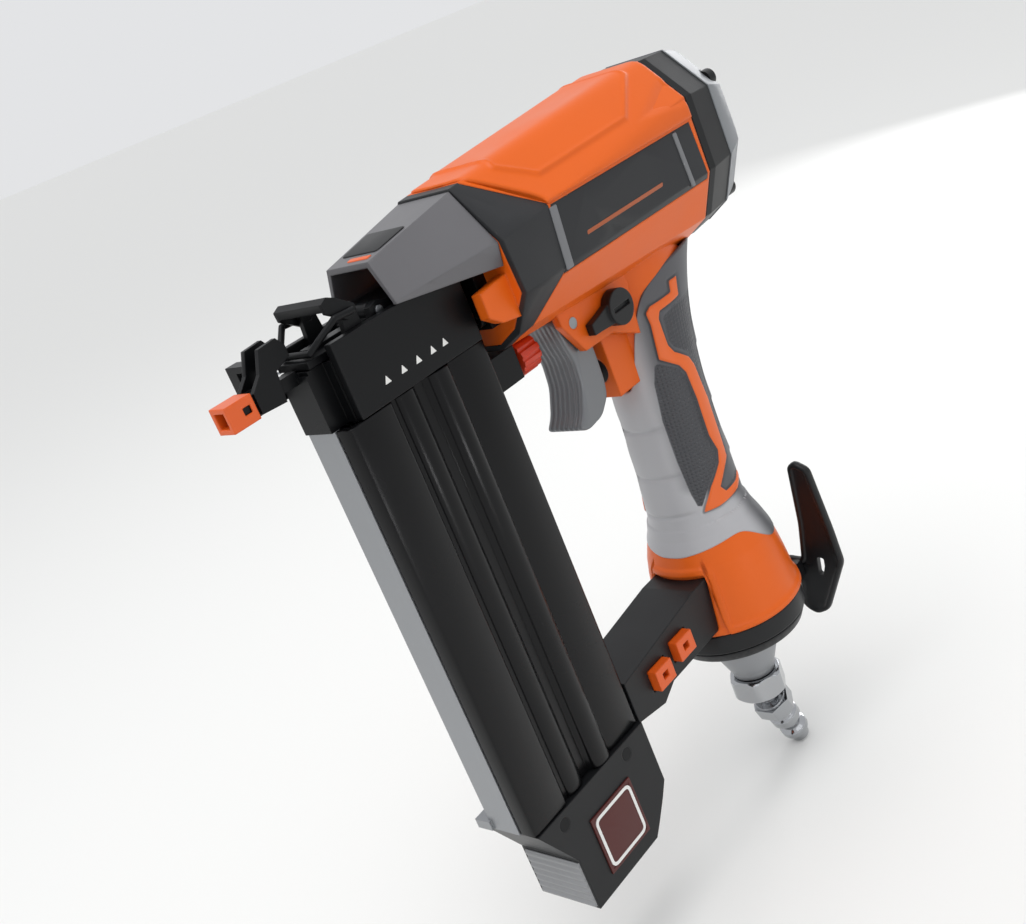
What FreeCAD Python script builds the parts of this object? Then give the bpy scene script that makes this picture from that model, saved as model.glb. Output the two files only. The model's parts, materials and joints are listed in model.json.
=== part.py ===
"""Pneumatic 18-gauge brad nailer, modelled as its separate pieces, in millimetres.

+Z is up, the nose points along -Y, and +X is the tool's left side. The origin is the centre of
the front face of the no-mar tip, on the drive axis, which runs along Y at x = 0 and z = 0.
"""

import FreeCAD
import Part
import math
import os

Vec = FreeCAD.Vector

# ---------------------------------------------------------------- clearances
TOUCH_GAP = 0.3        # between pieces of different bodies that pass each other
RUN_GAP = 0.06         # radial running fit of pins, pistons and stems

# ---------------------------------------------------------------- barrel and cylinder
BORE_RADIUS = 17.0     # cylinder bore
SLEEVE_WALL = 1.6
RETURN_GAP = 2.9       # air space round the sleeve
STROKE = 80.0          # piston travel
BARREL_FRONT = 98.5    # front face of the housing
BARREL_REAR = 205.0    # joint face of the rear cap
FRONT_WALL = 3.0
HALF_WIDTH = 27.4      # of the barrel at its front
TOP_HEIGHT = 27.5      # of the barrel at its front
REAR_GROWTH = 1.6      # how much wider the barrel is at its rear
REAR_RISE = 7.8        # how much higher the barrel is at its rear
COLLAR_WALL = 2.2
PANEL_DEPTH = 1.6
PANEL_HALF_HEIGHT = 10.6

# ---------------------------------------------------------------- rear end
GASKET = 1.0
RING_LENGTH = 16.0
CAP_LENGTH = 16.0
CAP_SCREW_RADIUS = 2.0
CAP_SCREW_HEAD = 3.4
VALVE_TRAVEL = 4.0     # of the head valve

# ---------------------------------------------------------------- handle
HANDLE_Y = 170.5       # axis of the handle
HANDLE_TOP = -38.0
HANDLE_END = -127.0    # where the rubber grip ends
FLARE_END = -169.0     # bottom of the housing
GRIP_RADIUS = 17.5
GRIP_WALL = 3.0
CHAMBER_RADIUS = 10.5  # air reservoir in the handle
FLARE_RADIUS = 28.6
HOOK_RING_HEIGHT = 8.2
HOOK_RING_WALL = 5.0
HOOK_STAND_OFF = 1.6   # of the strap from the ring
HOOK_THICK = 3.2
HOOK_FOOT_X = 9.0
END_CAP_LIP = 4.2
INLET_RADIUS = 8.0     # thread of the inlet bushing
BUSHING_DROP = 22.0    # how far the bushing's cone stands below the end cap
SWIVEL_STUB = 5.0      # radius of the swivel's stem
BALL_RADIUS = 6.0
BALL_DROP = 31.0       # ball centre below the end cap
PLUG_TILT = 22.0       # degrees, how far the plug leans back
PLUG_LENGTH = 38.0     # ball centre to plug tip

# ---------------------------------------------------------------- trigger
PIVOT_Y = 129.3
PIVOT_Z = -31.4
PIN_RADIUS = 2.0
TRIGGER_HALF = 8.0
EAR_WALL = 3.0
VALVE_Z = -56.0        # axis of the trigger valve
VALVE_RADIUS = 5.0
VALVE_FRONT = 144.5    # front face of the valve and of the bar that holds it
STEM_RADIUS = 1.5
KNOB_Y = 150.4
KNOB_Z = -35.2
KNOB_RADIUS = 6.5

# ---------------------------------------------------------------- nose
BLADE_HALF_THICK = 0.65
BLADE_HALF_HEIGHT = 1.0
SLOT_HALF = 0.85       # nail channel
CONTACT_TRAVEL = 7.0
CHANNEL_HALF_HEIGHT = 1.2
SNOUT_HALF_WIDTH = 2.0
SNOUT_HALF_HEIGHT = 2.0
SNOUT_GAP = 0.3
SLEEVE_THICK = 0.8     # of the contact arm's sleeve and of the tip's walls
SNOUT_FRONT = 8.6
NOSE_FRONT = 26.5
NOSE_HALF = 10.0
GATE_FRONT = 28.0
GATE_SEAT = 1.1        # top of the nose under the gate, just over the nail channel's middle
GATE_PIN_Y = 57.5
GATE_PIN_Z = 6.2
GATE_PIN_RADIUS = 1.5
BAIL_Y = 46.0
BAIL_Z = 11.0
WIRE_RADIUS = 1.0
SPRING_FRONT = 23.5    # where the contact spring bears on the arm
SPRING_LENGTH = 24.0
ROD_Z = -34.0          # axis of the depth adjuster
ROD_RADIUS = 2.2
WHEEL_RADIUS = 6.5
WHEEL_FRONT = 107.0
WHEEL_WIDTH = 9.0

# ---------------------------------------------------------------- magazine
MAG_HALF = 13.0
MAG_FRONT = 27.5
MAG_REAR = 89.0
MAG_TOP = -18.0
MAG_END = -166.0       # end of the rail
CAP_END = -207.0       # end of the magazine's end cap
MAG_WALL = 2.0
STRIP_HALF = 6.3       # exposed rail on the front
BRACKET_HALF = 12.0
BRACKET_TOP = -145.0
BRACKET_END = -166.5
BRACKET_REAR = 150.0
LABEL_SIDE = 23.0
SPARE_TIPS = [(107.0, -159.0), (122.0, -157.0)]


# ---------------------------------------------------------------- shape helpers
def block(x, y, z):
    """A box between (low, high) pairs."""
    return Part.makeBox(x[1] - x[0], y[1] - y[0], z[1] - z[0], Vec(x[0], y[0], z[0]))


def rod(radius, start, end):
    """A cylinder from one point to another."""
    run = Vec(*end) - Vec(*start)
    return Part.makeCylinder(radius, run.Length, Vec(*start), run)


def tube(outer, inner, start, end):
    """A hollow cylinder from one point to another."""
    return rod(outer, start, end).cut(rod(inner, start, end))


def prism(points, push):
    """A closed outline of points pushed along a vector."""
    corners = [Vec(*p) for p in points]
    return Part.Face(Part.makePolygon(corners + corners[:1])).extrude(Vec(*push))


def slab_x(outline, low, high):
    """An outline of (y, z) points between two x values."""
    return prism([(low, y, z) for y, z in outline], (high - low, 0, 0))


def slab_y(outline, low, high):
    """An outline of (x, z) points between two y values."""
    return prism([(x, low, z) for x, z in outline], (0, high - low, 0))


def slab_z(outline, low, high):
    """An outline of (x, y) points between two z values."""
    return prism([(x, y, low) for x, y in outline], (0, 0, high - low))


def mirrored(shape):
    """The same shape on the other side of the tool's mid-plane."""
    return shape.mirror(Vec(0, 0, 0), Vec(1, 0, 0))


def both_sides(shape):
    return shape.fuse(mirrored(shape))


def fused(shapes):
    whole = shapes[0]
    for shape in shapes[1:]:
        whole = whole.fuse(shape)
    return whole.removeSplitter()


def section(y, half):
    """A closed wire in the plane y, from the +X half of its outline, top to bottom."""
    right = [Vec(x, y, z) for x, z in half]
    left = [Vec(-p.x, p.y, p.z) for p in reversed(right)]
    corners = right + left
    return Part.makePolygon(corners + corners[:1])


def loft_y(halves):
    """A faceted solid through (y, half outline) sections."""
    return Part.makeLoft([section(y, half) for y, half in halves], True, True)


def oval(z, centre_y, half_depth, half_width):
    """A closed ellipse across the handle."""
    long_axis = max(half_depth, half_width)
    short_axis = min(half_depth, half_width)
    ellipse = Part.Ellipse(Vec(0, 0, 0), long_axis, short_axis)
    wire = Part.Wire(ellipse.toShape())
    if half_depth > half_width:
        wire.rotate(Vec(0, 0, 0), Vec(0, 0, 1), 90)
    wire.translate(Vec(0, centre_y, z))
    return wire


def turned(profile):
    """A solid of revolution about the handle's axis from (radius, z) points."""
    corners = [Vec(r, HANDLE_Y, z) for r, z in profile]
    face = Part.Face(Part.makePolygon(corners + corners[:1]))
    return face.revolve(Vec(0, HANDLE_Y, 0), Vec(0, 0, 1), 360)


def coil(radius, wire, length, turns, base, direction):
    """A round-wire spring that starts at base and runs along direction.

    It is made of half turns. Each is half a ring, tilted so that it climbs half the pitch.
    """
    rise = (length - 2 * wire) / (2 * turns)
    halves = []
    for k in range(2 * turns):
        side = 1 - 2 * (k % 2)
        section = Part.Face(Part.Wire(Part.makeCircle(wire, Vec(side * radius, 0, k * rise), Vec(0, 1, 0))))
        tilted_axis = Vec(side * rise, 0, 2 * radius)
        halves.append(section.revolve(Vec(0, 0, (k + 0.5) * rise), tilted_axis, 180))
    spring = halves[0].multiFuse(halves[1:])
    spring.translate(Vec(0, 0, wire))
    spring.Placement = FreeCAD.Placement(
        Vec(*base), FreeCAD.Rotation(Vec(0, 0, 1), Vec(*direction))
    ).multiply(spring.Placement)
    return spring


def write(name, shape):
    """One STEP file for one node."""
    shape.exportStep(os.path.join("parts", name + ".step"))


# ---------------------------------------------------------------- shared outlines
def barrel_half(share, inset=0.0):
    """The +X half of the barrel's outline; share runs from 0 at the front to 1 at the rear."""
    wide = HALF_WIDTH + REAR_GROWTH * share - inset
    top = TOP_HEIGHT + REAR_RISE * share - inset
    return [
        (12.0 + 2.0 * share - 0.4 * inset, top),
        (wide - 1.4 + 0.6 * share, 8.5 + 10.5 * share),
        (wide, -8.6),
        (17.8 + 3.2 * share - 0.6 * inset, -21.6 - 3.4 * share + 0.8 * inset),
        (8.0 + 3.0 * share, -26.4 - 4.6 * share + 0.9 * inset),
    ]


def housing_bore():
    return BORE_RADIUS + SLEEVE_WALL + RETURN_GAP


def barrel_outer():
    return loft_y([(BARREL_FRONT, barrel_half(0.0)), (BARREL_REAR, barrel_half(1.0))])


def collar_zone():
    """The band at the front of the barrel that the collar fills, longest at its sides."""
    side_rear = BARREL_FRONT + 23.5
    end_rear = BARREL_FRONT + 4.5
    outline = [
        (BARREL_FRONT - 10.0, 60.0),
        (end_rear, 60.0),
        (end_rear, TOP_HEIGHT),
        (side_rear, 11.5),
        (side_rear - 1.5, -8.0),
        (end_rear, -24.0),
        (end_rear, -60.0),
        (BARREL_FRONT - 10.0, -60.0),
    ]
    return slab_x(outline, -60.0, 60.0)


def barrel_neck():
    """The slimmer front of the barrel that the collar sits on."""
    inset = COLLAR_WALL
    return loft_y([(BARREL_FRONT, barrel_half(0.0, inset)), (BARREL_FRONT + 26.0, barrel_half(0.24, inset))])


def panel_zone(low, high):
    """The slanted-ended field of a side panel."""
    front = BARREL_FRONT + 22.0
    rear = BARREL_REAR - 1.2
    outline = [
        (front + 2.5, PANEL_HALF_HEIGHT),
        (rear - 1.0, PANEL_HALF_HEIGHT),
        (rear, -PANEL_HALF_HEIGHT),
        (front - 2.5, -PANEL_HALF_HEIGHT),
    ]
    return slab_x(outline, low, high)


def handle_loft(inset):
    """The handle's oval body, from under the barrel to the flare."""
    depth = GRIP_RADIUS - inset
    return Part.makeLoft([
        oval(HANDLE_TOP, HANDLE_Y + 10.5, depth + 6.6, depth - 1.5),
        oval(HANDLE_TOP - 20.0, HANDLE_Y + 5.0, depth + 1.8, depth - 1.2),
        oval(HANDLE_TOP - 45.0, HANDLE_Y + 2.0, depth, depth - 0.8),
        oval(HANDLE_END, HANDLE_Y, depth + 1.4, depth + 0.6),
    ], True, False)


def grip_front_zone():
    """The space in front of the handle's top that the housing keeps free of rubber."""
    outline = [
        (HANDLE_Y - 40.0, HANDLE_TOP + 1.0),
        (VALVE_FRONT + 23.5, HANDLE_TOP + 1.0),
        (VALVE_FRONT + 16.5, VALVE_Z - 10.5),
        (HANDLE_Y - 40.0, VALVE_Z - 10.5),
    ]
    return slab_x(outline, -30.0, 30.0)


def cap_screw_places():
    """Centres of the rear cap's screws, in the plane across the drive axis."""
    return [(20.5, 19.0), (-20.5, 19.0), (14.5, -22.0), (-14.5, -22.0)]


def end_cap_screw_places():
    reach = 19.0 * math.sqrt(0.5)
    return [(sx * reach, HANDLE_Y + sy * reach) for sx in (1, -1) for sy in (1, -1)]


def ear_inner():
    return TRIGGER_HALF + 0.9


def ear_outer():
    return ear_inner() + EAR_WALL


# ---------------------------------------------------------------- housing
def trigger_ears():
    """Two cheeks under the barrel that carry the trigger's pin and the mode selector."""
    outline = [
        (PIVOT_Y - 6.5, -20.0),
        (PIVOT_Y - 5.8, PIVOT_Z + 1.0),
        (PIVOT_Y + 1.5, PIVOT_Z - 11.0),
        (PIVOT_Y + 17.0, PIVOT_Z - 11.5),
        (VALVE_FRONT + 15.5, PIVOT_Z - 18.0),
        (VALVE_FRONT + 19.5, -20.0),
    ]
    return both_sides(slab_x(outline, ear_inner(), ear_outer()))


def flare():
    """The bell at the lower end of the handle."""
    drop = HANDLE_END - FLARE_END
    profile = [
        (0, HANDLE_END),
        (GRIP_RADIUS + 1.8, HANDLE_END),
        (FLARE_RADIUS - 6.0, HANDLE_END - 0.22 * drop),
        (FLARE_RADIUS - 2.8, HANDLE_END - 0.5 * drop),
        (FLARE_RADIUS - 1.1, HANDLE_END - 0.84 * drop),
        (FLARE_RADIUS - 0.6, HANDLE_END - 0.92 * drop),
        (FLARE_RADIUS, HANDLE_END - 0.94 * drop),
        (FLARE_RADIUS, FLARE_END),
        (0, FLARE_END),
    ]
    return turned(profile)


def front_lugs():
    """Faceted lugs that stand forward of the barrel on both sides of the nose."""
    outline = [
        (BARREL_FRONT - 13.0, -3.0),
        (BARREL_FRONT + 1.0, -1.5),
        (BARREL_FRONT + 1.0, -16.0),
        (BARREL_FRONT - 8.0, -14.5),
        (BARREL_FRONT - 13.0, -11.0),
    ]
    return both_sides(slab_x(outline, 17.6, 21.6)).cut(front_collar())


def valve_boss():
    """The upright bar in front of the handle's top that holds the trigger valve."""
    return block((-7.0, 7.0), (VALVE_FRONT, VALVE_FRONT + 21.5), (VALVE_Z - 10.5, -30.0))


def bracket_pocket():
    """The recess in the flare that takes the magazine bracket."""
    return block((-BRACKET_HALF, BRACKET_HALF), (HANDLE_Y - 40.0, BRACKET_REAR), (BRACKET_END, BRACKET_TOP))


def body_housing():
    neck = Part.makeLoft([
        oval(-16.0, HANDLE_Y + 5.0, 25.0, 16.5),
        oval(HANDLE_TOP, HANDLE_Y + 10.5, GRIP_RADIUS + 6.6, GRIP_RADIUS - 1.5),
    ], True, False)
    front_top = handle_loft(0.0).common(grip_front_zone())
    barrel = barrel_outer().cut(collar_zone()).fuse(barrel_neck())
    outside = fused([
        barrel, front_lugs(), neck, handle_loft(GRIP_WALL), front_top, flare(),
        trigger_ears(), valve_boss(),
    ])
    bore = rod(housing_bore(), (0, BARREL_FRONT + FRONT_WALL, 0), (0, BARREL_REAR + 1, 0))
    blade_way = rod(6.5, (0, BARREL_FRONT - 1, 0), (0, BARREL_FRONT + FRONT_WALL + 1, 0))
    chamber = rod(CHAMBER_RADIUS, (0, HANDLE_Y, -12.0), (0, HANDLE_Y, FLARE_END - 1))
    valve_way = rod(VALVE_RADIUS, (0, VALVE_FRONT - 1, VALVE_Z), (0, valve_rear() + 1, VALVE_Z))
    air_way = rod(2.5, (0, valve_rear(), VALVE_Z), (0, HANDLE_Y, VALVE_Z))
    trigger_room = block((-ear_inner(), ear_inner()), (PIVOT_Y - 9.0, PIVOT_Y + 12.0), (PIVOT_Z - 9.0, PIVOT_Z + 5.2))
    cuts = [bore, blade_way, chamber, valve_way, air_way, bracket_pocket(), trigger_room]
    cuts += [panel_zone(25.2, 40.0), panel_zone(-40.0, -25.2)]
    cuts += [rod(CAP_SCREW_RADIUS, (x, BARREL_REAR - 12, z), (x, BARREL_REAR + 1, z)) for x, z in cap_screw_places()]
    cuts += [rod(1.7, (x, y, FLARE_END - 1), (x, y, FLARE_END + 9)) for x, y in end_cap_screw_places()]
    cuts += [rod(1.6, (x, BARREL_FRONT - 1, z), (x, BARREL_FRONT + FRONT_WALL + 0.1, z)) for x, z in nose_screw_places()]
    cuts.append(rod(PIN_RADIUS, (-20, PIVOT_Y, PIVOT_Z), (20, PIVOT_Y, PIVOT_Z)))
    cuts.append(rod(PIN_RADIUS + RUN_GAP, (ear_inner() - 1, KNOB_Y, KNOB_Z), (20, KNOB_Y, KNOB_Z)))
    cuts += bracket_screw_ways()
    for tool in cuts:
        outside = outside.cut(tool)
    return outside


def front_collar():
    inset_front = barrel_neck()
    return barrel_outer().common(collar_zone()).cut(inset_front)


def side_panel():
    """The left panel, let into the barrel's side and flush with it."""
    return barrel_outer().cut(collar_zone()).common(panel_zone(25.2, 40.0))


def nose_shroud():
    """The faceted cover over the root of the nose."""
    front = [(9.8, 20.0), (14.6, 7.0), (14.6, 6.2)]
    rear = [(12.0, 26.8), (24.0, 8.5), (22.6, 1.0)]
    thin = 1.8
    inner_front = [(9.8 - 0.6 * thin, 20.0 - thin), (14.6 - thin + 0.4, 7.0), (14.6 - thin + 0.4, 3.0)]
    inner_rear = [(12.0 - 0.5 * thin, 26.8 - thin), (24.0 - thin, 8.0), (22.6 - thin, -2.0)]
    outside = loft_y([(60.0, front), (BARREL_FRONT - 0.4, rear)])
    inside = loft_y([(59.9, inner_front), (BARREL_FRONT - 0.3, inner_rear)])
    return outside.cut(inside)


# ---------------------------------------------------------------- rear end
def ring_start():
    return BARREL_REAR + GASKET


def cap_start():
    return ring_start() + RING_LENGTH


def cap_rear():
    return cap_start() + CAP_LENGTH


def rear_half(inset):
    """The rear ring's outline, shrunk by inset."""
    outline = barrel_half(1.0)
    return [(x - 0.7 * inset, z - math.copysign(0.7 * inset, z)) for x, z in outline]


def with_screw_ways(shape, radius, low, high):
    for x, z in cap_screw_places():
        shape = shape.cut(rod(radius, (x, low, z), (x, high, z)))
    return shape


def rear_gasket():
    plate = loft_y([(BARREL_REAR, rear_half(0.8)), (ring_start(), rear_half(0.8))])
    plate = plate.cut(rod(housing_bore(), (0, BARREL_REAR - 1, 0), (0, ring_start() + 1, 0)))
    return with_screw_ways(plate, CAP_SCREW_RADIUS, BARREL_REAR - 1, ring_start() + 1)


def rear_ring():
    outside = loft_y([
        (ring_start(), rear_half(0.4)),
        (ring_start() + 3.0, rear_half(-0.4)),
        (cap_start(), rear_half(1.2)),
    ])
    outside = outside.cut(rod(valve_bore(), (0, ring_start() - 1, 0), (0, cap_start() + 1, 0)))
    return with_screw_ways(outside, CAP_SCREW_RADIUS, ring_start() - 1, cap_start() + 1)


def rear_cap():
    outside = loft_y([
        (cap_start(), rear_half(0.8)),
        (cap_start() + 11.0, rear_half(4.6)),
        (cap_rear(), rear_half(9.0)),
    ])
    hollow = rod(valve_bore() - 4.0, (0, cap_start() - 1, 0), (0, cap_rear() - 5.0, 0))
    outside = with_screw_ways(outside.cut(hollow), CAP_SCREW_RADIUS, cap_start() - 1, cap_rear() + 1)
    return with_screw_ways(outside, CAP_SCREW_HEAD + 0.3, cap_start() + 8.0, cap_rear() + 1)


def cap_screws():
    screws = []
    for x, z in cap_screw_places():
        head_face = cap_start() + 8.0
        shank = rod(CAP_SCREW_RADIUS, (x, BARREL_REAR - 12, z), (x, head_face, z))
        head = rod(CAP_SCREW_HEAD, (x, head_face, z), (x, head_face + 4.0, z))
        socket = hexagon_y(1.5, x, z, head_face + 1.8, head_face + 5.0)
        screws.append(shank.fuse(head).cut(socket))
    return Part.makeCompound(screws)


def hexagon_y(half_flats, x, z, low, high):
    """A six-sided bar along Y."""
    reach = half_flats / math.cos(math.pi / 6)
    corners = [(x + reach * math.cos(k * math.pi / 3), z + reach * math.sin(k * math.pi / 3)) for k in range(6)]
    return slab_y(corners, low, high)


def hexagon_z(half_flats, low, high):
    """A six-sided bar along the handle's axis."""
    reach = half_flats / math.cos(math.pi / 6)
    corners = [(reach * math.cos(k * math.pi / 3), HANDLE_Y + reach * math.sin(k * math.pi / 3)) for k in range(6)]
    return slab_z(corners, low, high)


def valve_bore():
    return housing_bore() - 0.5


# ---------------------------------------------------------------- cylinder, piston and head valve
def sleeve_front():
    return BARREL_FRONT + FRONT_WALL


def sleeve_rear():
    return BARREL_REAR - 1.0


def cylinder_sleeve():
    outer = BORE_RADIUS + SLEEVE_WALL
    wall = tube(outer, BORE_RADIUS, (0, sleeve_front(), 0), (0, sleeve_rear(), 0))
    flange = tube(housing_bore(), BORE_RADIUS, (0, sleeve_front(), 0), (0, sleeve_front() + 3.0, 0))
    shape = wall.fuse(flange)
    for k in range(8):
        angle = k * math.pi / 4
        reach = outer + 3.0
        hole = rod(1.2, (0, sleeve_front() + 14, 0), (reach * math.cos(angle), sleeve_front() + 14, reach * math.sin(angle)))
        shape = shape.cut(hole)
    return shape


def sleeve_seals():
    places = [sleeve_front() + 5.0, sleeve_front() + 32.0]
    rings = [tube(housing_bore(), BORE_RADIUS + SLEEVE_WALL, (0, y, 0), (0, y + 2.4, 0)) for y in places]
    return Part.makeCompound(rings)


def piston_rear():
    return sleeve_rear() - 3.0


def piston_front():
    return piston_rear() - 9.0


def bumper():
    return tube(BORE_RADIUS - 0.2, 7.5, (0, sleeve_front(), 0), (0, piston_front() - STROKE - TOUCH_GAP, 0))


def piston():
    outer = BORE_RADIUS - RUN_GAP
    head = rod(outer, (0, piston_front(), 0), (0, piston_rear(), 0))
    boss = rod(6.0, (0, piston_front() - 6.0, 0), (0, piston_front() + 1.0, 0))
    groove = tube(outer + 1, outer - 2.2, (0, piston_front() + 3.0, 0), (0, piston_front() + 5.6, 0))
    dish = rod(9.0, (0, piston_rear() - 2.5, 0), (0, piston_rear() + 1, 0))
    return head.fuse(boss).cut(groove).cut(dish).cut(driver_blade())


def piston_o_ring():
    outer = BORE_RADIUS - RUN_GAP
    return tube(outer + 0.02, outer - 2.2, (0, piston_front() + 3.0, 0), (0, piston_front() + 5.6, 0))


def driver_blade():
    tip = STROKE + CONTACT_TRAVEL
    return block((-BLADE_HALF_THICK, BLADE_HALF_THICK), (tip, piston_front() + 2.0), (-BLADE_HALF_HEIGHT, BLADE_HALF_HEIGHT))


def head_valve():
    outer = valve_bore() - RUN_GAP
    disc = rod(outer, (0, ring_start() + 0.6, 0), (0, ring_start() + 9.0, 0))
    pocket = rod(outer - 5.0, (0, ring_start() + 3.0, 0), (0, ring_start() + 10.0, 0))
    return disc.cut(pocket)


def head_valve_seal():
    return tube(BORE_RADIUS + SLEEVE_WALL + 0.8, BORE_RADIUS - 2.0, (0, sleeve_rear() + 0.3, 0), (0, ring_start() + 0.6, 0))


def head_valve_spring():
    start = ring_start() + 3.0
    return coil(11.0, 0.9, cap_rear() - 5.0 - start, 5, (0, start, 0), (0, 1, 0))


# ---------------------------------------------------------------- handle
def grip_sleeve():
    sleeve = handle_loft(0.0).cut(handle_loft(GRIP_WALL)).cut(grip_front_zone())
    return sleeve.cut(valve_boss())


def end_cap_top():
    return FLARE_END


def end_cap_low():
    return FLARE_END - HOOK_RING_HEIGHT - 0.6 - END_CAP_LIP


def handle_end_cap():
    lip_top = end_cap_low() + END_CAP_LIP
    spigot = FLARE_RADIUS - HOOK_RING_WALL
    profile = [
        (INLET_RADIUS, end_cap_top()),
        (spigot, end_cap_top()),
        (spigot, lip_top),
        (FLARE_RADIUS - 0.4, lip_top),
        (FLARE_RADIUS - 2.4, end_cap_low()),
        (INLET_RADIUS, end_cap_low()),
    ]
    cap = turned(profile)
    for x, y in end_cap_screw_places():
        cap = cap.cut(rod(1.7, (x, y, end_cap_low() - 1), (x, y, end_cap_top() + 1)))
        cap = cap.cut(rod(3.2, (x, y, end_cap_low() - 1), (x, y, end_cap_low() + 3.0)))
    return cap


def end_cap_screws():
    screws = []
    for x, y in end_cap_screw_places():
        shank = rod(1.7, (x, y, end_cap_low() + 3.0), (x, y, FLARE_END + 9))
        head = rod(3.0, (x, y, end_cap_low() + 0.4), (x, y, end_cap_low() + 3.0))
        screws.append(shank.fuse(head))
    return Part.makeCompound(screws)


def air_filter():
    return rod(CHAMBER_RADIUS - 0.3, (0, HANDLE_Y, end_cap_top()), (0, HANDLE_Y, end_cap_top() + 3.0))


def bushing_low():
    return end_cap_low() - BUSHING_DROP


def inlet_bushing():
    bore = SWIVEL_STUB + RUN_GAP
    profile = [
        (3.4, end_cap_top() - 1.0),
        (INLET_RADIUS, end_cap_top() - 1.0),
        (INLET_RADIUS, end_cap_low()),
        (17.0, end_cap_low()),
        (16.4, end_cap_low() - 2.0),
        (9.4, bushing_low() + 3.0),
        (8.6, bushing_low()),
        (bore, bushing_low()),
        (bore, end_cap_low() + 4.0),
        (3.4, end_cap_low() + 4.0),
    ]
    return turned(profile)


def ball_z():
    return end_cap_low() - BALL_DROP


def swivel_body():
    """The chromed hexagonal socket that spins in the bushing and holds the plug's ball."""
    top = bushing_low() - TOUCH_GAP
    low = ball_z() - 2.5
    profile = [
        (0, end_cap_low() + 3.6),
        (SWIVEL_STUB, end_cap_low() + 3.6),
        (SWIVEL_STUB, top),
        (10.0, top),
        (11.2, top - 1.2),
        (11.2, low + 2.4),
        (8.6, low),
        (0, low),
    ]
    nut = hexagon_z(10.2, low, top)
    stub = rod(SWIVEL_STUB, (0, HANDLE_Y, top - 1.0), (0, HANDLE_Y, end_cap_low() + 3.6))
    shape = turned(profile).common(nut.fuse(stub))
    shape = shape.cut(rod(2.5, (0, HANDLE_Y, low - 1), (0, HANDLE_Y, end_cap_low() + 5)))
    ball_seat = Part.makeSphere(BALL_RADIUS + RUN_GAP, Vec(0, HANDLE_Y, ball_z()))
    return shape.cut(ball_seat)


def air_plug():
    """A quick-connect plug on a ball, leaning back by the plug's tilt."""
    base = ball_z()
    profile = [
        (0, base - 4.0),
        (3.2, base - 4.0),
        (3.2, base - 7.5),
        (6.6, base - 7.5),
        (6.6, base - 15.5),
        (5.2, base - 16.5),
        (5.2, base - 19.0),
        (6.4, base - 20.0),
        (6.4, base - 23.5),
        (4.4, base - 25.0),
        (4.0, base - 28.5),
        (5.9, base - 29.8),
        (5.9, base - 32.4),
        (3.95, base - 33.6),
        (3.95, base - PLUG_LENGTH + 0.6),
        (3.4, base - PLUG_LENGTH),
        (0, base - PLUG_LENGTH),
    ]
    ball = Part.makeSphere(BALL_RADIUS, Vec(0, HANDLE_Y, base))
    nut = hexagon_z(7.4, base - 15.0, base - 8.4)
    shape = turned(profile).fuse(ball).fuse(nut)
    shape = shape.cut(rod(2.5, (0, HANDLE_Y, base - PLUG_LENGTH - 1), (0, HANDLE_Y, base + BALL_RADIUS + 1)))
    shape.rotate(Vec(0, HANDLE_Y, base), Vec(1, 0, 0), PLUG_TILT)
    return shape


def belt_hook():
    """A ring round the end cap with a windowed strap that rises beside the handle."""
    top = FLARE_END - TOUCH_GAP
    low = top - HOOK_RING_HEIGHT
    inner = FLARE_RADIUS - HOOK_RING_WALL + RUN_GAP
    ring = tube(FLARE_RADIUS, inner, (0, HANDLE_Y, low), (0, HANDLE_Y, top))
    reach = HANDLE_Y + FLARE_RADIUS + HOOK_STAND_OFF
    foot = HOOK_FOOT_X
    strap_outline = [
        (foot + 3.0, low - 17.0), (foot + 1.0, low - 13.5), (foot + 4.0, low - 3.5), (foot, low), (foot, top),
        (foot + 7.5, top - 1.0), (foot + 11.3, low + 24.0), (foot + 14.5, low + 50.0), (foot + 18.0, low + 52.0),
        (foot + 23.5, low + 48.5), (foot + 25.5, low + 21.5), (foot + 26.0, low + 6.0), (foot + 13.0, low - 17.0),
        (foot + 7.0, low - 19.5),
    ]
    strap = slab_y(strap_outline, reach, reach + HOOK_THICK)
    window_outline = [
        (foot + 15.0, low + 8.5), (foot + 18.0, low + 8.0), (foot + 16.6, low - 0.5), (foot + 13.6, low),
    ]
    strap = strap.cut(slab_y(window_outline, reach - 1, reach + HOOK_THICK + 1))
    lug = block((foot, foot + 7.5), (HANDLE_Y + FLARE_RADIUS - 7.0, reach + 0.5), (low, top - 1.0))
    lug = lug.cut(rod(FLARE_RADIUS - 1.0, (0, HANDLE_Y, low - 1), (0, HANDLE_Y, top + 1)))
    return fused([ring, lug, strap])


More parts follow.
